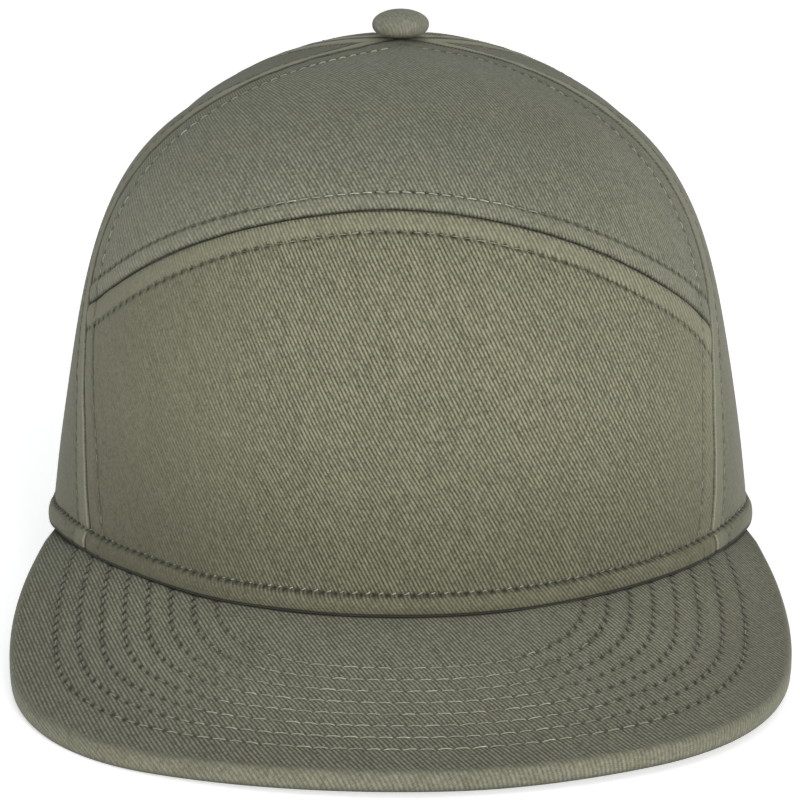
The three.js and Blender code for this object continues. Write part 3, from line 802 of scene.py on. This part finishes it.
# painted light and shade on the brim: its cloth is a lighter copy of the front cloth, the rounded front edge is
# painted a little paler, the lower part of that edge and the brim towards its rim are painted darker, and its
# root under the hem roll is painted nearly black as contact shadow
brimLook = dict(baseLook, angle=66.5, lines={"rowMarks": rowLine}, contrast=1.0, leftClear=0.9, rightClear=0.7,
                dark=linear(50, 49, 38), light=linear(149, 148, 128), yarn=0.6, speckle=0.6,
                step=0.5, floatLength=0.66, fades=[("wallMarks", 1, 0.0, 0.8, 0.6)],
                shades=[("wallMarks", 1, 0.0, 1.0, 0.03, "pale"), ("rimMarks", 0, 0.52, 0.8, 0.85, "deep"),
                        ("rowMarks", 1, 30.0, 6.0, 0.2, "deep"), ("wallMarks", 0, 1.0, 0.3, 0.95, "contactShadow")])
# painted shade: the button is painted darker towards its foot, where it meets the crown
buttonLook = dict(baseLook, light=linear(150, 149, 132), dark=linear(76, 75, 64), contrast=0.16, yarn=0.3,
                  speckle=0.2, leftClear=1.0, shades=[("footMarks", 0, 1.7, 0.3, 0.9, "deep")])
threadLook = dict(baseLook, light=linear(200, 199, 179), dark=linear(84, 82, 66), contrast=0.15, yarn=0.3,
                  grain=0.4, pitch=0.35, toned=True)
frontCloth = clothMaterial("front_twill", crownLook)
upperCloth = clothMaterial("upper_twill", upperLook)
sideCloth = clothMaterial("crown_twill", sideLook)
brimCloth = clothMaterial("brim_twill", brimLook)
buttonCloth = clothMaterial("button_twill", buttonLook)
bandCloth = clothMaterial("sweatband_cotton", dict(baseLook, pitch=0.6, relief=0.05))
threadCloth = clothMaterial("sewing_thread", threadLook)
print("materials made", flush=True)


def aboveHole(share, azimuthAt):
    # the panels under the button end at its hole, whatever the share across them
    return holeT(azimuthAt)


# a hair's breadth, in radians of t, between the two front panels
archGap = 0.0004
crownPanel("front_lower_panel_cloth", leftSeam, rightSeam, 250, 176, frontCloth,
           high=lambda share, azimuthAt: archT(share * 2 - 1) - archGap, seed=3)
crownPanel("front_upper_panel_cloth", leftSeam, rightSeam, 275, 178, upperCloth,
           low=lambda share: archT(share * 2 - 1) + archGap, high=aboveHole, seed=5)
for name, left, right, seed in (("side_panel_right_cloth", rightSeam, rightBackSeam, 7),
                                ("side_panel_left_cloth", leftBackSeam, leftSeam, 8),
                                ("back_panel_right_cloth", rightBackSeam, rightMiddle, 11),
                                ("back_panel_left_cloth", leftMiddle, leftBackSeam, 12)):
    crownPanel(name, left, right, 170, 270, sideCloth, high=aboveHole, seed=seed)
print("crown panels made", flush=True)


def offsetCurve(inset):
    # the outline moved in by inset: side arc, a fillet that loses only part of the inset, front arc
    splay, sideTurn, frontTurn = np.radians([brim["splay"], brim["sideTurn"], brim["frontTurn"]])
    side, corner, front = brim["sideRadius"], brim["cornerRadius"], brim["frontRadius"]

    def direction(a):
        return np.array([math.cos(a), -math.sin(a)])
    sideCentre = -side * direction(splay)
    frontCentre = sideCentre + (side - corner) * direction(splay - sideTurn) \
        + (corner - front) * direction(frontTurn - math.pi / 2)
    sideCentre[0] -= frontCentre[0]
    frontCentre[0] = 0.0
    return sideCentre, frontCentre, side - inset, front - inset, corner - inset * brim["rowRounding"]


def filletCentre(sideCentre, frontCentre, sideRadius, frontRadius, fillet):
    # the point at sideRadius - fillet from one centre and frontRadius - fillet from the other
    a, b = sideRadius - fillet, frontRadius - fillet
    span = frontCentre - sideCentre
    d = math.hypot(span[0], span[1])
    along = (d * d + a * a - b * b) / (2 * d)
    up = np.sqrt(np.maximum(a * a - along * along, 0))
    ex, ey = span / d
    # of the two meeting points, the one further forward
    up = up * np.sign(ex)
    return sideCentre[0] + ex * along - ey * up, sideCentre[1] + ey * along + ex * up


def rowField(x, forward, rounds=7):
    # inset of the offset curve that passes through each point, and the length along it from the centre line
    x = np.abs(x)
    level = np.full(x.shape, 20.0)
    for _ in range(rounds):
        sideCentre, frontCentre, sideRadius, frontRadius, fillet = offsetCurve(level)
        cx, cy = filletCentre(sideCentre, frontCentre, sideRadius, frontRadius, fillet)
        sideTurn = np.arctan2(forward - sideCentre[1], x - sideCentre[0])
        sideEnd = np.arctan2(cy - sideCentre[1], cx - sideCentre[0])
        frontTurn = np.arctan2(x - frontCentre[0], forward - frontCentre[1])
        frontEnd = np.arctan2(cx - frontCentre[0], cy - frontCentre[1])
        onSide = sideTurn < sideEnd
        onFront = frontTurn < frontEnd
        gap = np.where(onSide, sideRadius - np.hypot(x - sideCentre[0], forward - sideCentre[1]),
                       np.where(onFront, frontRadius - np.hypot(x - frontCentre[0], forward - frontCentre[1]),
                                fillet - np.hypot(x - cx, forward - cy)))
        level = level + gap
    frontLength = frontRadius * np.minimum(frontTurn, frontEnd)
    cornerTurn = np.clip(np.arctan2(x - cx, forward - cy) - frontEnd, 0, math.pi / 2 - sideEnd - frontEnd)
    cornerLength = np.where(onFront, 0, fillet * cornerTurn)
    sideLength = np.where(onSide, sideRadius * (sideEnd - sideTurn), 0)
    return level, frontLength + cornerLength + sideLength


def rowPath(inset, count=900):
    # right half of one offset curve, from the centre line, as (x, forward) and the length from the centre line
    sideCentre, frontCentre, sideRadius, frontRadius, fillet = offsetCurve(inset)
    cx, cy = filletCentre(sideCentre, frontCentre, sideRadius, frontRadius, fillet)
    frontEnd = math.atan2(cx - frontCentre[0], cy - frontCentre[1])
    sideEnd = math.atan2(cy - sideCentre[1], cx - sideCentre[0])
    a = np.linspace(0, frontEnd, count)
    front = frontCentre + frontRadius * np.stack([np.sin(a), np.cos(a)], 1)
    a = np.linspace(frontEnd, math.pi / 2 - sideEnd, count)
    corner = np.array([cx, cy]) + fillet * np.stack([np.sin(a), np.cos(a)], 1)
    a = np.linspace(sideEnd, -0.25, count)
    side = sideCentre + sideRadius * np.stack([np.cos(a), np.sin(a)], 1)
    path = np.concatenate([front, corner[1:], side[1:]])
    return path, pathLength(path)


def planToFlat(x, y):
    # the reverse of brimToPlan
    return x, (brim["cornerY"] - y) / slopeCosine + brim["arch"] * x * x / 2 * slopeTangent


def rowOffsets(level):
    # distance to the nearest stitch row
    number = np.clip(np.round((level - brim["rowInset"]) / brim["rowPitch"]), 0, brim["rows"] - 1)
    return level - brim["rowInset"] - number * brim["rowPitch"], number


def brimLift(level):
    # shallow furrow on each row and a slight swell between rows
    off, _ = rowOffsets(level)
    first, pitch = brim["rowInset"], brim["rowPitch"]
    last = first + 7 * pitch
    inRows = smoothStep(level, first - 6, first) * (1 - smoothStep(level, last, last + 0.6 * pitch + 3))
    swell = brim["puff"] * (1 - np.cos(np.clip(np.abs(off) / pitch, 0, 0.5) * 2 * math.pi)) / 2
    return swell * inRows - brim["rowDepth"] * bell(off, brim["rowWidth"])


def pastOval(x, y):
    # how far a point of the plan lies outside the crown's oval
    azimuth = np.arctan2(np.abs(x), crown["buttonY"] - y)
    return np.hypot(x, y - crown["buttonY"]) - np.interp(azimuth, ovalAzimuth, ovalReach)


def brimBend(x, y, level):
    # the photographed brim is bent up at its right front corner, and stands higher beside the crown
    corner = brim["cornerLift"] * smoothStep(x, 10, 76) * smoothStep(-y, 60, 112)
    root = 1 - smoothStep(pastOval(x, y), 0, brim["rootReach"])
    return corner + rootRise(x, y) * root * smoothStep(level, 1, 14)


def frontRise(y):
    # the board is a little thicker towards the front
    return brim["frontRise"] * smoothStep(-y, 60, 120)


def even(points, count):
    # a plan curve at even steps of its length
    along = pathLength(points)
    target = np.linspace(0, along[-1], count)
    return np.stack([np.interp(target, along, points[:, k]) for k in range(2)], 1)


def brimPiece(material):
    # one section for each point of the rim: top from the tuck under the hem to the rim, round the edge, and back
    # along the underside; the left half mirrors the right one
    half = brim["columns"] // 2 + 1
    rim = even(brimToPlan(brimOutline(brim["thickness"] / 2)), half)
    tip = rim[0]
    tipAzimuth = math.atan2(tip[0], crown["buttonY"] - tip[1])
    azimuth = np.linspace(tipAzimuth, 0, 400)
    stitchLine = crownPoint(azimuth, 0 * azimuth)
    flat = unit(crownNormal(azimuth, 0 * azimuth) * [1, 1, 0])
    tuck = even((stitchLine - flat * brim["tuck"])[:, :2], half)
    tangent = unit(np.gradient(rim, axis=0))
    tangent[-1] = [-1, 0]
    outward = np.stack([-tangent[:, 1], tangent[:, 0]], 1)
    outward *= np.sign((outward * (rim - [0, -60])).sum(1))[:, None]
    share = smoothStep(np.linalg.norm(rim - tip, axis=1), 0, brim["tipTaper"])
    thickness = (brim["tipThickness"] + (brim["thickness"] - brim["tipThickness"]) * share)[:, None]
    radius = thickness / 2
    extra = frontRise(rim[:, 1])[:, None]
    rim = rim + outward * (brim["thickness"] / 2 - radius)

    def face(count, top):
        s = np.linspace(0, 1, count)[None, :, None]
        plan = tuck[:, None] + (rim - tuck)[:, None] * (s if top else 1 - s)
        z = brimTop(plan[..., 0], plan[..., 1]) + (frontRise(plan[..., 1]) if top else 0)
        level, along = rowField(*planToFlat(plan[..., 0], plan[..., 1]))
        if not top:
            z = z - thickness
        lift = brimLift(level) * (1 if top else -1) * smoothStep(level, 0, 7)
        lift = lift + 0.14 * wander(plan[..., 0], plan[..., 1], 21, 26, 60) * smoothStep(level, 3, 16)
        grid = np.concatenate([plan, (z + lift)[..., None]], -1)
        return grid, plan, np.stack([along, level], -1)
    top, topCloth, topMarks = face(brim["topRows"], True)
    bottom, bottomCloth, bottomMarks = face(brim["bottomRows"], False)
    # edge: superellipse from the top round to the underside, out = R |cos a|^(2/p), rise = R |sin a|^(2/p)
    a = np.linspace(math.pi / 2, -math.pi / 2, brim["edgeRows"] + 2)[1:-1][None, :]
    power = 2 / brim["edgePower"]
    out = radius * np.abs(np.cos(a)) ** power
    rise = radius * np.sign(np.sin(a)) * np.abs(np.sin(a)) ** power
    swollen = extra * (0.5 + 0.5 * rise / radius)
    edgePlan = rim[:, None] + outward[:, None] * out[..., None]
    edgeZ = brimTop(rim[:, 0], rim[:, 1])[:, None] - radius + rise + swollen
    edge = np.concatenate([edgePlan, edgeZ[..., None]], -1)
    run = radius * (1 - rise / radius) + out
    edgeCloth = rim[:, None] + outward[:, None] * run[..., None]
    edgeMarks = np.stack([rowField(*planToFlat(rim[:, 0], rim[:, 1]))[1][:, None] + 0 * out, 1.5 - out], -1)
    section = np.concatenate([top, edge, bottom], 1)
    cloth = np.concatenate([topCloth, edgeCloth, bottomCloth], 1)
    marks = np.concatenate([topMarks, edgeMarks, bottomMarks], 1)
    section = np.concatenate([section, section[-2::-1] * [-1, 1, 1]])
    cloth = np.concatenate([cloth, cloth[-2::-1] * [-1, 1]])
    # the cloth was laid with its wales turning from side to side: y' = y (1 + turn x), x' = x - bow x^2
    cloth = np.stack([cloth[..., 0] - brim["grainBow"] * cloth[..., 0] ** 2,
                      cloth[..., 1] + brim["grainTurn"] * cloth[..., 0] * (cloth[..., 1] + 70)], -1)
    marks = np.concatenate([marks, marks[-2::-1] * [-1, 1]])
    marks[..., 0] += rowOffsets(marks[..., 1])[1] * brim["rowStart"]
    plan = section[..., :2]
    section[..., 2] += brimBend(plan[..., 0], plan[..., 1], marks[..., 1])
    # marks of the rim and of the wall: distance past the oval, edgeness, and share of the way round the edge
    wall = pastOval(plan[..., 0], plan[..., 1])
    under = np.arange(section.shape[1])[None, :] >= brim["topRows"] + 2
    inEdge = (np.arange(section.shape[1]) - brim["topRows"] + 1) / (brim["edgeRows"] + 1)
    edgeness = np.clip(np.sin(np.clip(inEdge, 0, 1) * math.pi), 0, 1) ** 0.35
    wallMarks = np.stack([np.where(under, 40, wall), edgeness[None, :] + 0 * wall], -1)
    rimMarks = np.stack([np.clip(inEdge, 0, 3)[None, :] + 0 * wall, 0 * wall], -1)
    columns, rows = section.shape[:2]
    index = np.arange(columns * rows).reshape(columns, rows)
    turned = np.concatenate([index, index[:, :1]], 1)
    faces = [strip(turned[:-1, :-1], turned[:-1, 1:], turned[1:, 1:], turned[1:, :-1])]
    # horn tips: the ring of each end closed by quads across it
    j = np.arange(rows // 2 - 1)
    for column, order in ((0, 1), (columns - 1, -1)):
        ring = index[column]
        faces.append(strip(ring[j], ring[rows - 1 - j], ring[rows - 2 - j], ring[j + 1])[:, ::order])
    return makeObject("brim_cloth", toFrame(section.reshape(-1, 3)), faces, material, "brim",
                      cloth.reshape(-1, 2) * millimetre,
                      {"rowMarks": marks.reshape(-1, 2), "wallMarks": wallMarks.reshape(-1, 2),
                       "rimMarks": rimMarks.reshape(-1, 2)}, sharp=75)


brimPiece(brimCloth)
print("brim made", flush=True)

button = {
    "radius": 6.9, "upperHeight": 3.45, "lowerHeight": 3.0, "middle": 130.0, "upperPower": 2.0, "lowerPower": 2.7,
    "neckRadius": 1.5, "neckFoot": 122.8, "shadeFoot": 126.9, "pleats": 26, "pleatDepth": 0.16,
    "columns": 208, "rows": 60,
}


def buttonPiece(material):
    # covered ball: r = R |cos a|^(2/p), z = middle + H sign(a) |sin a|^(2/p), finely pleated underneath
    columns, rows = button["columns"], button["rows"]
    phi = np.linspace(0, 2 * math.pi, columns, endpoint=False)[:, None]
    a = np.linspace(-math.pi / 2 + 0.12, math.pi / 2, rows)[None, :-1]
    power = np.where(a > 0, button["upperPower"], button["lowerPower"])
    tall = np.where(a > 0, button["upperHeight"], button["lowerHeight"])
    low = 1 - smoothStep(a, -0.6, 0.7)
    turned = phi + 0.06 * np.sin(3 * phi + 1.0) + 0.25 * np.minimum(a, 0.5)
    fold = np.abs(np.cos(turned * button["pleats"] / 2)) - 0.6
    patch = 0.35 + 0.65 * bell(np.mod(phi + math.pi, 2 * math.pi) - math.pi - 0.15, 0.75)
    radial = 1 + button["pleatDepth"] * fold * low * patch / button["radius"]
    radial = radial + 0.006 * wander(6.8 * np.cos(phi), 6.8 * np.sin(phi) + a * 4, 31, 4, 12)
    r = button["radius"] * np.abs(np.cos(a)) ** (2 / power) * radial
    z = button["middle"] + tall * np.sign(a) * np.abs(np.sin(a)) ** (2 / power) + 0 * phi
    neckZ = np.array([button["neckFoot"], button["middle"] - button["lowerHeight"]])[None, :] + 0 * phi
    neckR = button["neckRadius"] * np.array([0.98, 0.9])[None, :] + 0 * phi
    r = np.concatenate([neckR, np.maximum(r, button["neckRadius"] * 0.9 * (a < 0))], 1)
    z = np.concatenate([neckZ, z], 1)
    ring = np.stack([r * np.sin(phi), crown["buttonY"] - r * np.cos(phi), z], -1)
    count = ring.shape[1]
    pole = np.array([[0, crown["buttonY"], button["middle"] + button["upperHeight"]],
                     [0, crown["buttonY"], button["neckFoot"]]])
    index = np.arange(columns * count).reshape(columns, count)
    around = np.concatenate([index, index[:1]])
    quads = strip(around[:-1, :-1], around[1:, :-1], around[1:, 1:], around[:-1, 1:])
    cap = np.stack([around[:-1, -1], around[1:, -1], np.full(columns, columns * count)], 1)
    base = np.stack([around[1:, 0], around[:-1, 0], np.full(columns, columns * count + 1)], 1)
    points = np.concatenate([ring.reshape(-1, 3), pole])
    # the cloth is drawn down from the pole: its distance from the pole is kept, in the direction of the azimuth
    flat = points[:, :2] - [0, crown["buttonY"]]
    reach = np.linalg.norm(flat, axis=1, keepdims=True)
    cloth = flat / np.maximum(reach, 0.01) * np.hypot(reach, points[:, 2:] - points[-2, 2])
    marks = np.stack([points[:, 2] - button["shadeFoot"], 0 * points[:, 2]], 1)
    return makeObject("button_cloth", toFrame(points), [quads, cap, base], material, "button",
                      cloth * millimetre, {"footMarks": marks})


buttonPiece(buttonCloth)

band = {
    "gap": 0.35, "thickness": 1.2, "height": 26.0, "lift": 0.5, "foldWidth": 1.4, "topInset": 4.0,
    "columns": 420, "rows": 40,
}


def sweatbandPiece(material):
    # ring inside the hem: out = -(hem wall + gap), from just above the hem's edge to height, softly wavy
    azimuth = np.linspace(-math.pi, math.pi, band["columns"], endpoint=False)[:, None]
    share = np.linspace(0, 1, band["rows"])[None, :]
    foot = crownPoint(azimuth, 0 * azimuth)
    level = foot[..., 2] + share * (band["height"] - crown["stitchHeight"])
    t = solveRise(lambda s: crownPoint(azimuth + 0 * share, s)[..., 2], level)
    point = crownPoint(azimuth + 0 * share, t)
    flat = unit(crownNormal(azimuth + 0 * share, t) * [1, 1, 0])
    lowZ = hemLow(point[..., 0], point[..., 1]) + band["lift"]
    point[..., 2] = lowZ[:, :1] + (band["height"] + foot[..., 2] - crown["stitchHeight"] - lowZ[:, :1]) * share
    wave = 0.16 * wander(azimuth * 80, share * 20, 41, 14, 40) * np.sin(share * math.pi)
    above, below = (1 - share) * band["height"], share * band["height"]
    fold = 0.5 * bell(below, band["foldWidth"]) + 0.5 * bell(above, band["foldWidth"])
    outer = point - flat * (crown["hemWall"] + band["gap"] + 0.12 + fold * 0.3)[..., None]
    stitched = 0.22 * bell(above - band["topInset"], 0.7)
    inner = point - flat * (crown["hemWall"] + band["gap"] + band["thickness"] - fold * 0.3 - stitched
                            + 0.1 * wave)[..., None]
    vertices, faces = shell(toFrame(outer), toFrame(inner), ring=True)
    along = np.interp(azimuth, hemAzimuths, hemAlong) + 0 * share
    cloth = np.stack([along, below + 0 * along], -1)
    uv = np.concatenate([cloth.reshape(-1, 2)] * 2) * millimetre
    return makeObject("sweatband_cloth", vertices, faces, material, "sweatband", uv)


sweatbandPiece(bandCloth)
print("button and sweatband made", flush=True)


thread = {"sides": 8, "stations": 9, "arch": 0.2, "sink": 0.5}


def stitchRuns(name, runs, material, length=seams["stitchLength"]):
    # each run is (points, normals, along, look); a stitch spans every length of along, arched over the cloth:
    # height = arch (1 - s^2) - sink s^8 and radius = r (1 - s^6)^(1/2) for s from -1 to 1. A look has fill, the
    # share of the length that the thread covers, slant in radians, radius and tone: a number, or one per point
    pieces = []
    for points, normals, along, look in runs:
        order = np.argsort(along)

        def at(spots, values):
            return np.stack([np.interp(spots, along[order], column[order]) for column in values], 1)
        marks = np.arange(math.ceil(along.min() / length), math.floor(along.max() / length) + 1) * length
        place = at(marks, points.T)
        middle = (marks[1:] + marks[:-1]) / 2
        show = at(middle, [look[key] + 0 * along for key in ("fill", "slant", "radius", "tone")])
        pieces.append((place[:-1], place[1:], unit(at(middle, normals.T)), show))
    start, end, up, show = (np.concatenate(part) for part in zip(*pieces))
    rng = np.random.default_rng(77)
    centre = (start + end) / 2
    forward = end - start
    reach = np.linalg.norm(forward, axis=1)[:, None] / 2 * show[:, :1] * rng.normal(1, 0.05, (len(start), 1))
    forward = unit(forward)
    side = unit(np.cross(up, forward))
    turn = show[:, 1:2] + rng.normal(0, 0.06, (len(start), 1))
    forward, side = forward * np.cos(turn) + side * np.sin(turn), side * np.cos(turn) - forward * np.sin(turn)
    s = np.sin(np.linspace(-1, 1, thread["stations"]) * math.pi / 2)
    height = thread["arch"] * (1 - s ** 2) - thread["sink"] * s ** 8
    girth = np.maximum(np.sqrt(np.maximum(1 - s ** 6, 0.0)), 0.22)[None, :] * show[:, 2:3]
    phi = np.linspace(0, 2 * math.pi, thread["sides"], endpoint=False)
    grid = centre[:, None, None] + forward[:, None, None] * (reach[:, None, None] * s[None, :, None, None]) \
        + up[:, None, None] * (height[None, :, None, None] + (girth[..., None] * np.sin(phi))[..., None]) \
        + side[:, None, None] * (girth[..., None] * np.cos(phi))[..., None]
    count, stations, sides = grid.shape[:3]
    index = np.arange(count * stations * sides).reshape(count, stations, sides)
    wrapped = np.concatenate([index, index[:, :, :1]], 2)
    quads = strip(wrapped[:, :-1, :-1], wrapped[:, :-1, 1:], wrapped[:, 1:, 1:], wrapped[:, 1:, :-1])
    caps = [index[:, 0, ::-1], index[:, -1, :]]
    uv = np.stack(np.broadcast_arrays(s[None, :, None] * 1.6, phi[None, None, :] * 0.2 + 0 * grid[..., 0]), -1)
    tone = show[:, 3] + rng.normal(0, 0.09, count)
    # painted highlight: one end of each stitch is painted lighter, where it catches more light
    endHighlight = (2.4 * np.maximum(tone - 0.35, 0) * rng.random(count) ** 1.5)[:, None] * bell(s - 0.75, 0.3)[None, :]
    tones = (tone[:, None] + endHighlight)[:, :, None, None] + 0 * grid[..., :2]
    return makeObject(name, toFrame(grid.reshape(-1, 3)), [quads] + caps, material, None,
                      uv.reshape(-1, 2) * millimetre, {"toneMarks": tones.reshape(-1, 2)}, sharp=80)


seamStitch = {"fill": 0.66, "slant": 0.0, "radius": 0.14, "tone": 0.3}
panelStitch = dict(seamStitch, radius=0.09, tone=0.32)
besideStitch = dict(seamStitch, radius=0.06, tone=0.35)


def panelRun(border, side, look, top=1.36):
    # line at stitchInset beside a border seam, on its side (1 towards larger azimuth), from the hem up
    t = np.linspace(0.0, top, 700)
    edge = border(t)
    across, _ = crownTangents(edge, t)
    azimuth = edge + side * seams["stitchInset"] / np.linalg.norm(across, axis=-1)
    normal = crownNormal(azimuth, t)
    points = crownPoint(azimuth, t) - normal * seams["grooveDepth"] * 0.85
    return points, normal, pathLength(crownPoint(edge, t)), look


# the thread shows pale on the upper front panel and hardly at all lower down
climb = np.linspace(0.0, 1.49, 700)
high = smoothStep(climb, 0.45, 0.6)
nearButton = smoothStep(climb, 1.12, 1.3)
rightStitch = dict(seamStitch, radius=0.11, tone=0.28 + 0.2 * high)
leftStitch = dict(seamStitch, radius=0.12, tone=0.1 + 0.38 * high + 0.35 * nearButton, fill=0.66 + 0.16 * high)
crownRuns = [panelRun(rightSeam, -1, rightStitch, 1.49), panelRun(leftSeam, 1, leftStitch, 1.49),
             panelRun(rightSeam, 1, besideStitch), panelRun(leftSeam, -1, besideStitch)]
crownRuns += [panelRun(seam, side, panelStitch) for seam in (rightBackSeam, leftBackSeam) for side in (-1, 1)]
crownRuns += [panelRun(rightMiddle, -1, panelStitch), panelRun(leftMiddle, 1, panelStitch)]


def archRun(below):
    # line at its inset below or above the arched seam
    u = np.linspace(-0.985, 0.985, 1200)
    t = archT(u)
    azimuth = acrossFront(u, t)
    line = crownPoint(azimuth, t)
    tangent = unit(np.gradient(line, axis=0))
    normal = crownNormal(azimuth, t)
    across = unit(np.cross(normal, tangent)) * (-1 if below else 1)
    target = line + across * (seams["lowerInset"] if below else seams["upperInset"])
    # back onto the crown: walk t and azimuth until the point meets the target
    for _ in range(6):
        gap = target - crownPoint(azimuth, t)
        alongAzimuth, alongT = crownTangents(azimuth, t)
        azimuth = azimuth + (gap * alongAzimuth).sum(-1) / (alongAzimuth ** 2).sum(-1)
        t = t + (gap * alongT).sum(-1) / (alongT ** 2).sum(-1)
    normal = crownNormal(azimuth, t)
    points = crownPoint(azimuth, t) - normal * seams["grooveDepth"]
    whole = np.linspace(-1, 1, 900)
    wholeT = archT(whole)
    wholeLine = crownPoint(acrossFront(whole, wholeT), wholeT)
    keep = (azimuth < rightSeam(t) - 0.012) & (azimuth > leftSeam(t) + 0.012)
    along = np.interp(u, whole, pathLength(wholeLine))
    # painted highlight and shade: the thread is painted pale over the middle of the cap and dark towards both
    # sides, where it lies in shadow
    aside = smoothStep(np.abs(points[keep, 0]), 20, 40)
    look = dict(seamStitch, radius=0.13, tone=0.3 - 0.6 * aside, fill=0.62 + 0.16 * aside) if below \
        else dict(seamStitch, radius=0.15, tone=0.55 - 0.75 * aside, fill=0.86)
    return points[keep], normal[keep], along[keep], look


crownRuns += [archRun(True), archRun(False)]
stitchRuns("crown_stitches", crownRuns, threadCloth)

hemT = 0.004 + 0 * hemAzimuths
hemPoints = crownPoint(hemAzimuths, hemT)
hemNormals = unit(crownNormal(hemAzimuths, hemT) * [1, 1, 0.2])
# painted highlight and shade: the hem thread is painted paler across the front and darker towards the sides
hemLook = dict(seamStitch, fill=0.46, slant=0.45, tone=0.58 - 0.36 * smoothStep(np.abs(hemPoints[:, 0]), 25, 55))
stitchRuns("hem_stitches", [(hemPoints - hemNormals * 0.2, hemNormals, hemAlong, hemLook)],
           threadCloth, seams["hemStitchLength"])
print("crown stitches made", flush=True)


def brimRuns(top):
    # eight offset rows on the brim, cut off where they pass under the hem or reach the horns
    def height(x, y):
        return brimTop(x, y) + brimBend(x, y, level) + frontRise(y) * top - brim["thickness"] * (not top)
    runs = []
    tip = brimToPlan(brimOutline(brim["thickness"] / 2))[0]
    for number in range(brim["rows"]):
        level = brim["rowInset"] + number * brim["rowPitch"]
        path, along = rowPath(level)
        plan = brimToPlan(path)
        showing = pastOval(plan[:, 0], plan[:, 1]) > (-0.5 if top else 1 - brim["tuck"])
        keep = showing & (plan[:, 1] < tip[1] - 2)
        start = number * brim["rowStart"]
        halves = []
        for side in (1, -1):
            x, y = plan[keep, 0] * side, plan[keep, 1]
            slopeX = (height(x + 0.1, y) - height(x - 0.1, y)) / 0.2
            slopeY = (height(x, y + 0.1) - height(x, y - 0.1)) / 0.2
            normal = unit(np.stack([-slopeX, -slopeY, np.ones_like(x)], 1)) * (1 if top else -1)
            points = np.stack([x, y, height(x, y)], 1) - normal * brim["rowDepth"] * 0.9
            # painted highlight and shade: the thread is painted pale where the row runs across the front, facing
            # the light, and dark along the sides
            sideways = np.abs(unit(np.gradient(points, axis=0))[:, 0])
            halves.append((points, normal, start + side * along[keep], sideways ** 3))
        points, normal, place, across = (np.concatenate(pair) for pair in zip(*halves))
        look = {"fill": 0.6 + 0.44 * across, "slant": 0.04, "radius": 0.115, "tone": 0.24 + 0.33 * across}
        runs.append((points, normal, place, look))
    return runs


stitchRuns("brim_stitches_top", brimRuns(True), threadCloth, seams["rowStitchLength"])
stitchRuns("brim_stitches_under", brimRuns(False), threadCloth, seams["rowStitchLength"])
print("brim stitches made", flush=True)

# white floor, soft lights and the camera that took the photo
floorMaterial = bpy.data.materials.new("studio_floor")
floorMaterial.use_nodes = True
floorShader = floorMaterial.node_tree.nodes["Principled BSDF"]
floorShader.inputs["Base Color"].default_value = (0.93, 0.93, 0.93, 1)
floorShader.inputs["Roughness"].default_value = 0.9
floorShader.inputs["Emission Color"].default_value = (1, 1, 1, 1)
floorShader.inputs["Emission Strength"].default_value = 0.55
floorMesh = bpy.data.meshes.new("studio_floor")
floorMesh.from_pydata([(-6, -4, 0), (6, -4, 0), (6, 12, 0), (-6, 12, 0)], [], [(0, 1, 2, 3)])
floorMesh.materials.append(floorMaterial)
floor = bpy.data.objects.new("studio_floor", floorMesh)
bpy.context.scene.collection.objects.link(floor)

world = bpy.data.worlds.new("studio_light")
bpy.context.scene.world = world
world.use_nodes = True
sky = Wiring(world.node_tree)
background = world.node_tree.nodes["Background"]
_, _, height = sky.split(sky.node("ShaderNodeTexCoord").outputs["Generated"])
sky.link(sky.mixColor(sky.ramp(height, 0.0, 0.8, smooth=False), (1.0, 0.99, 0.97, 1), (0.2, 0.21, 0.225, 1)),
         background.inputs["Color"])
background.inputs["Strength"].default_value = 0.75


def areaLight(name, position, target, size, power, color=(1, 1, 1)):
    data = bpy.data.lights.new(name, "AREA")
    data.shape = "DISK"
    data.size = size
    data.energy = power
    data.color = color
    lamp = bpy.data.objects.new(name, data)
    lamp.location = position
    lamp.rotation_euler = (Vector(target) - Vector(position)).to_track_quat("-Z", "Y").to_euler()
    bpy.context.scene.collection.objects.link(lamp)


areaLight("key_light", (0.75, -1.95, 0.5), (0, -0.02, 0.07), 1.1, 28, (1.0, 0.99, 0.95))
areaLight("fill_light", (-1.5, -1.5, 0.5), (0, -0.02, 0.07), 1.3, 6)
areaLight("front_top_light", (0.15, -1.5, 1.6), (0, -0.05, 0.05), 1.3, 13, (0.95, 0.98, 1.0))
areaLight("top_light", (0.2, 0.5, 2.2), (0, 0, 0.06), 1.6, 5, (0.95, 0.98, 1.0))

# the photo is taken as 800 pixels across a 36 mm sensor
focalPixels = 4031.95
cameraTilt = math.radians(16.804)
camera = bpy.data.objects.new("camera", bpy.data.cameras.new("camera"))
camera.data.sensor_width = 36
camera.data.lens = 181.44
camera.data.clip_start = 0.05
camera.data.clip_end = 60
# half a pixel to the left at a distance of 0.985 m
camera.location = (-0.5 / focalPixels * 0.985, -0.920, 0.3248)
camera.rotation_euler = (math.pi / 2 - cameraTilt, 0, 0)
bpy.context.scene.collection.objects.link(camera)
bpy.context.scene.camera = camera
bpy.context.scene.view_settings.view_transform = "Standard"
bpy.context.scene.view_settings.look = "None"

print("all pieces made", flush=True)
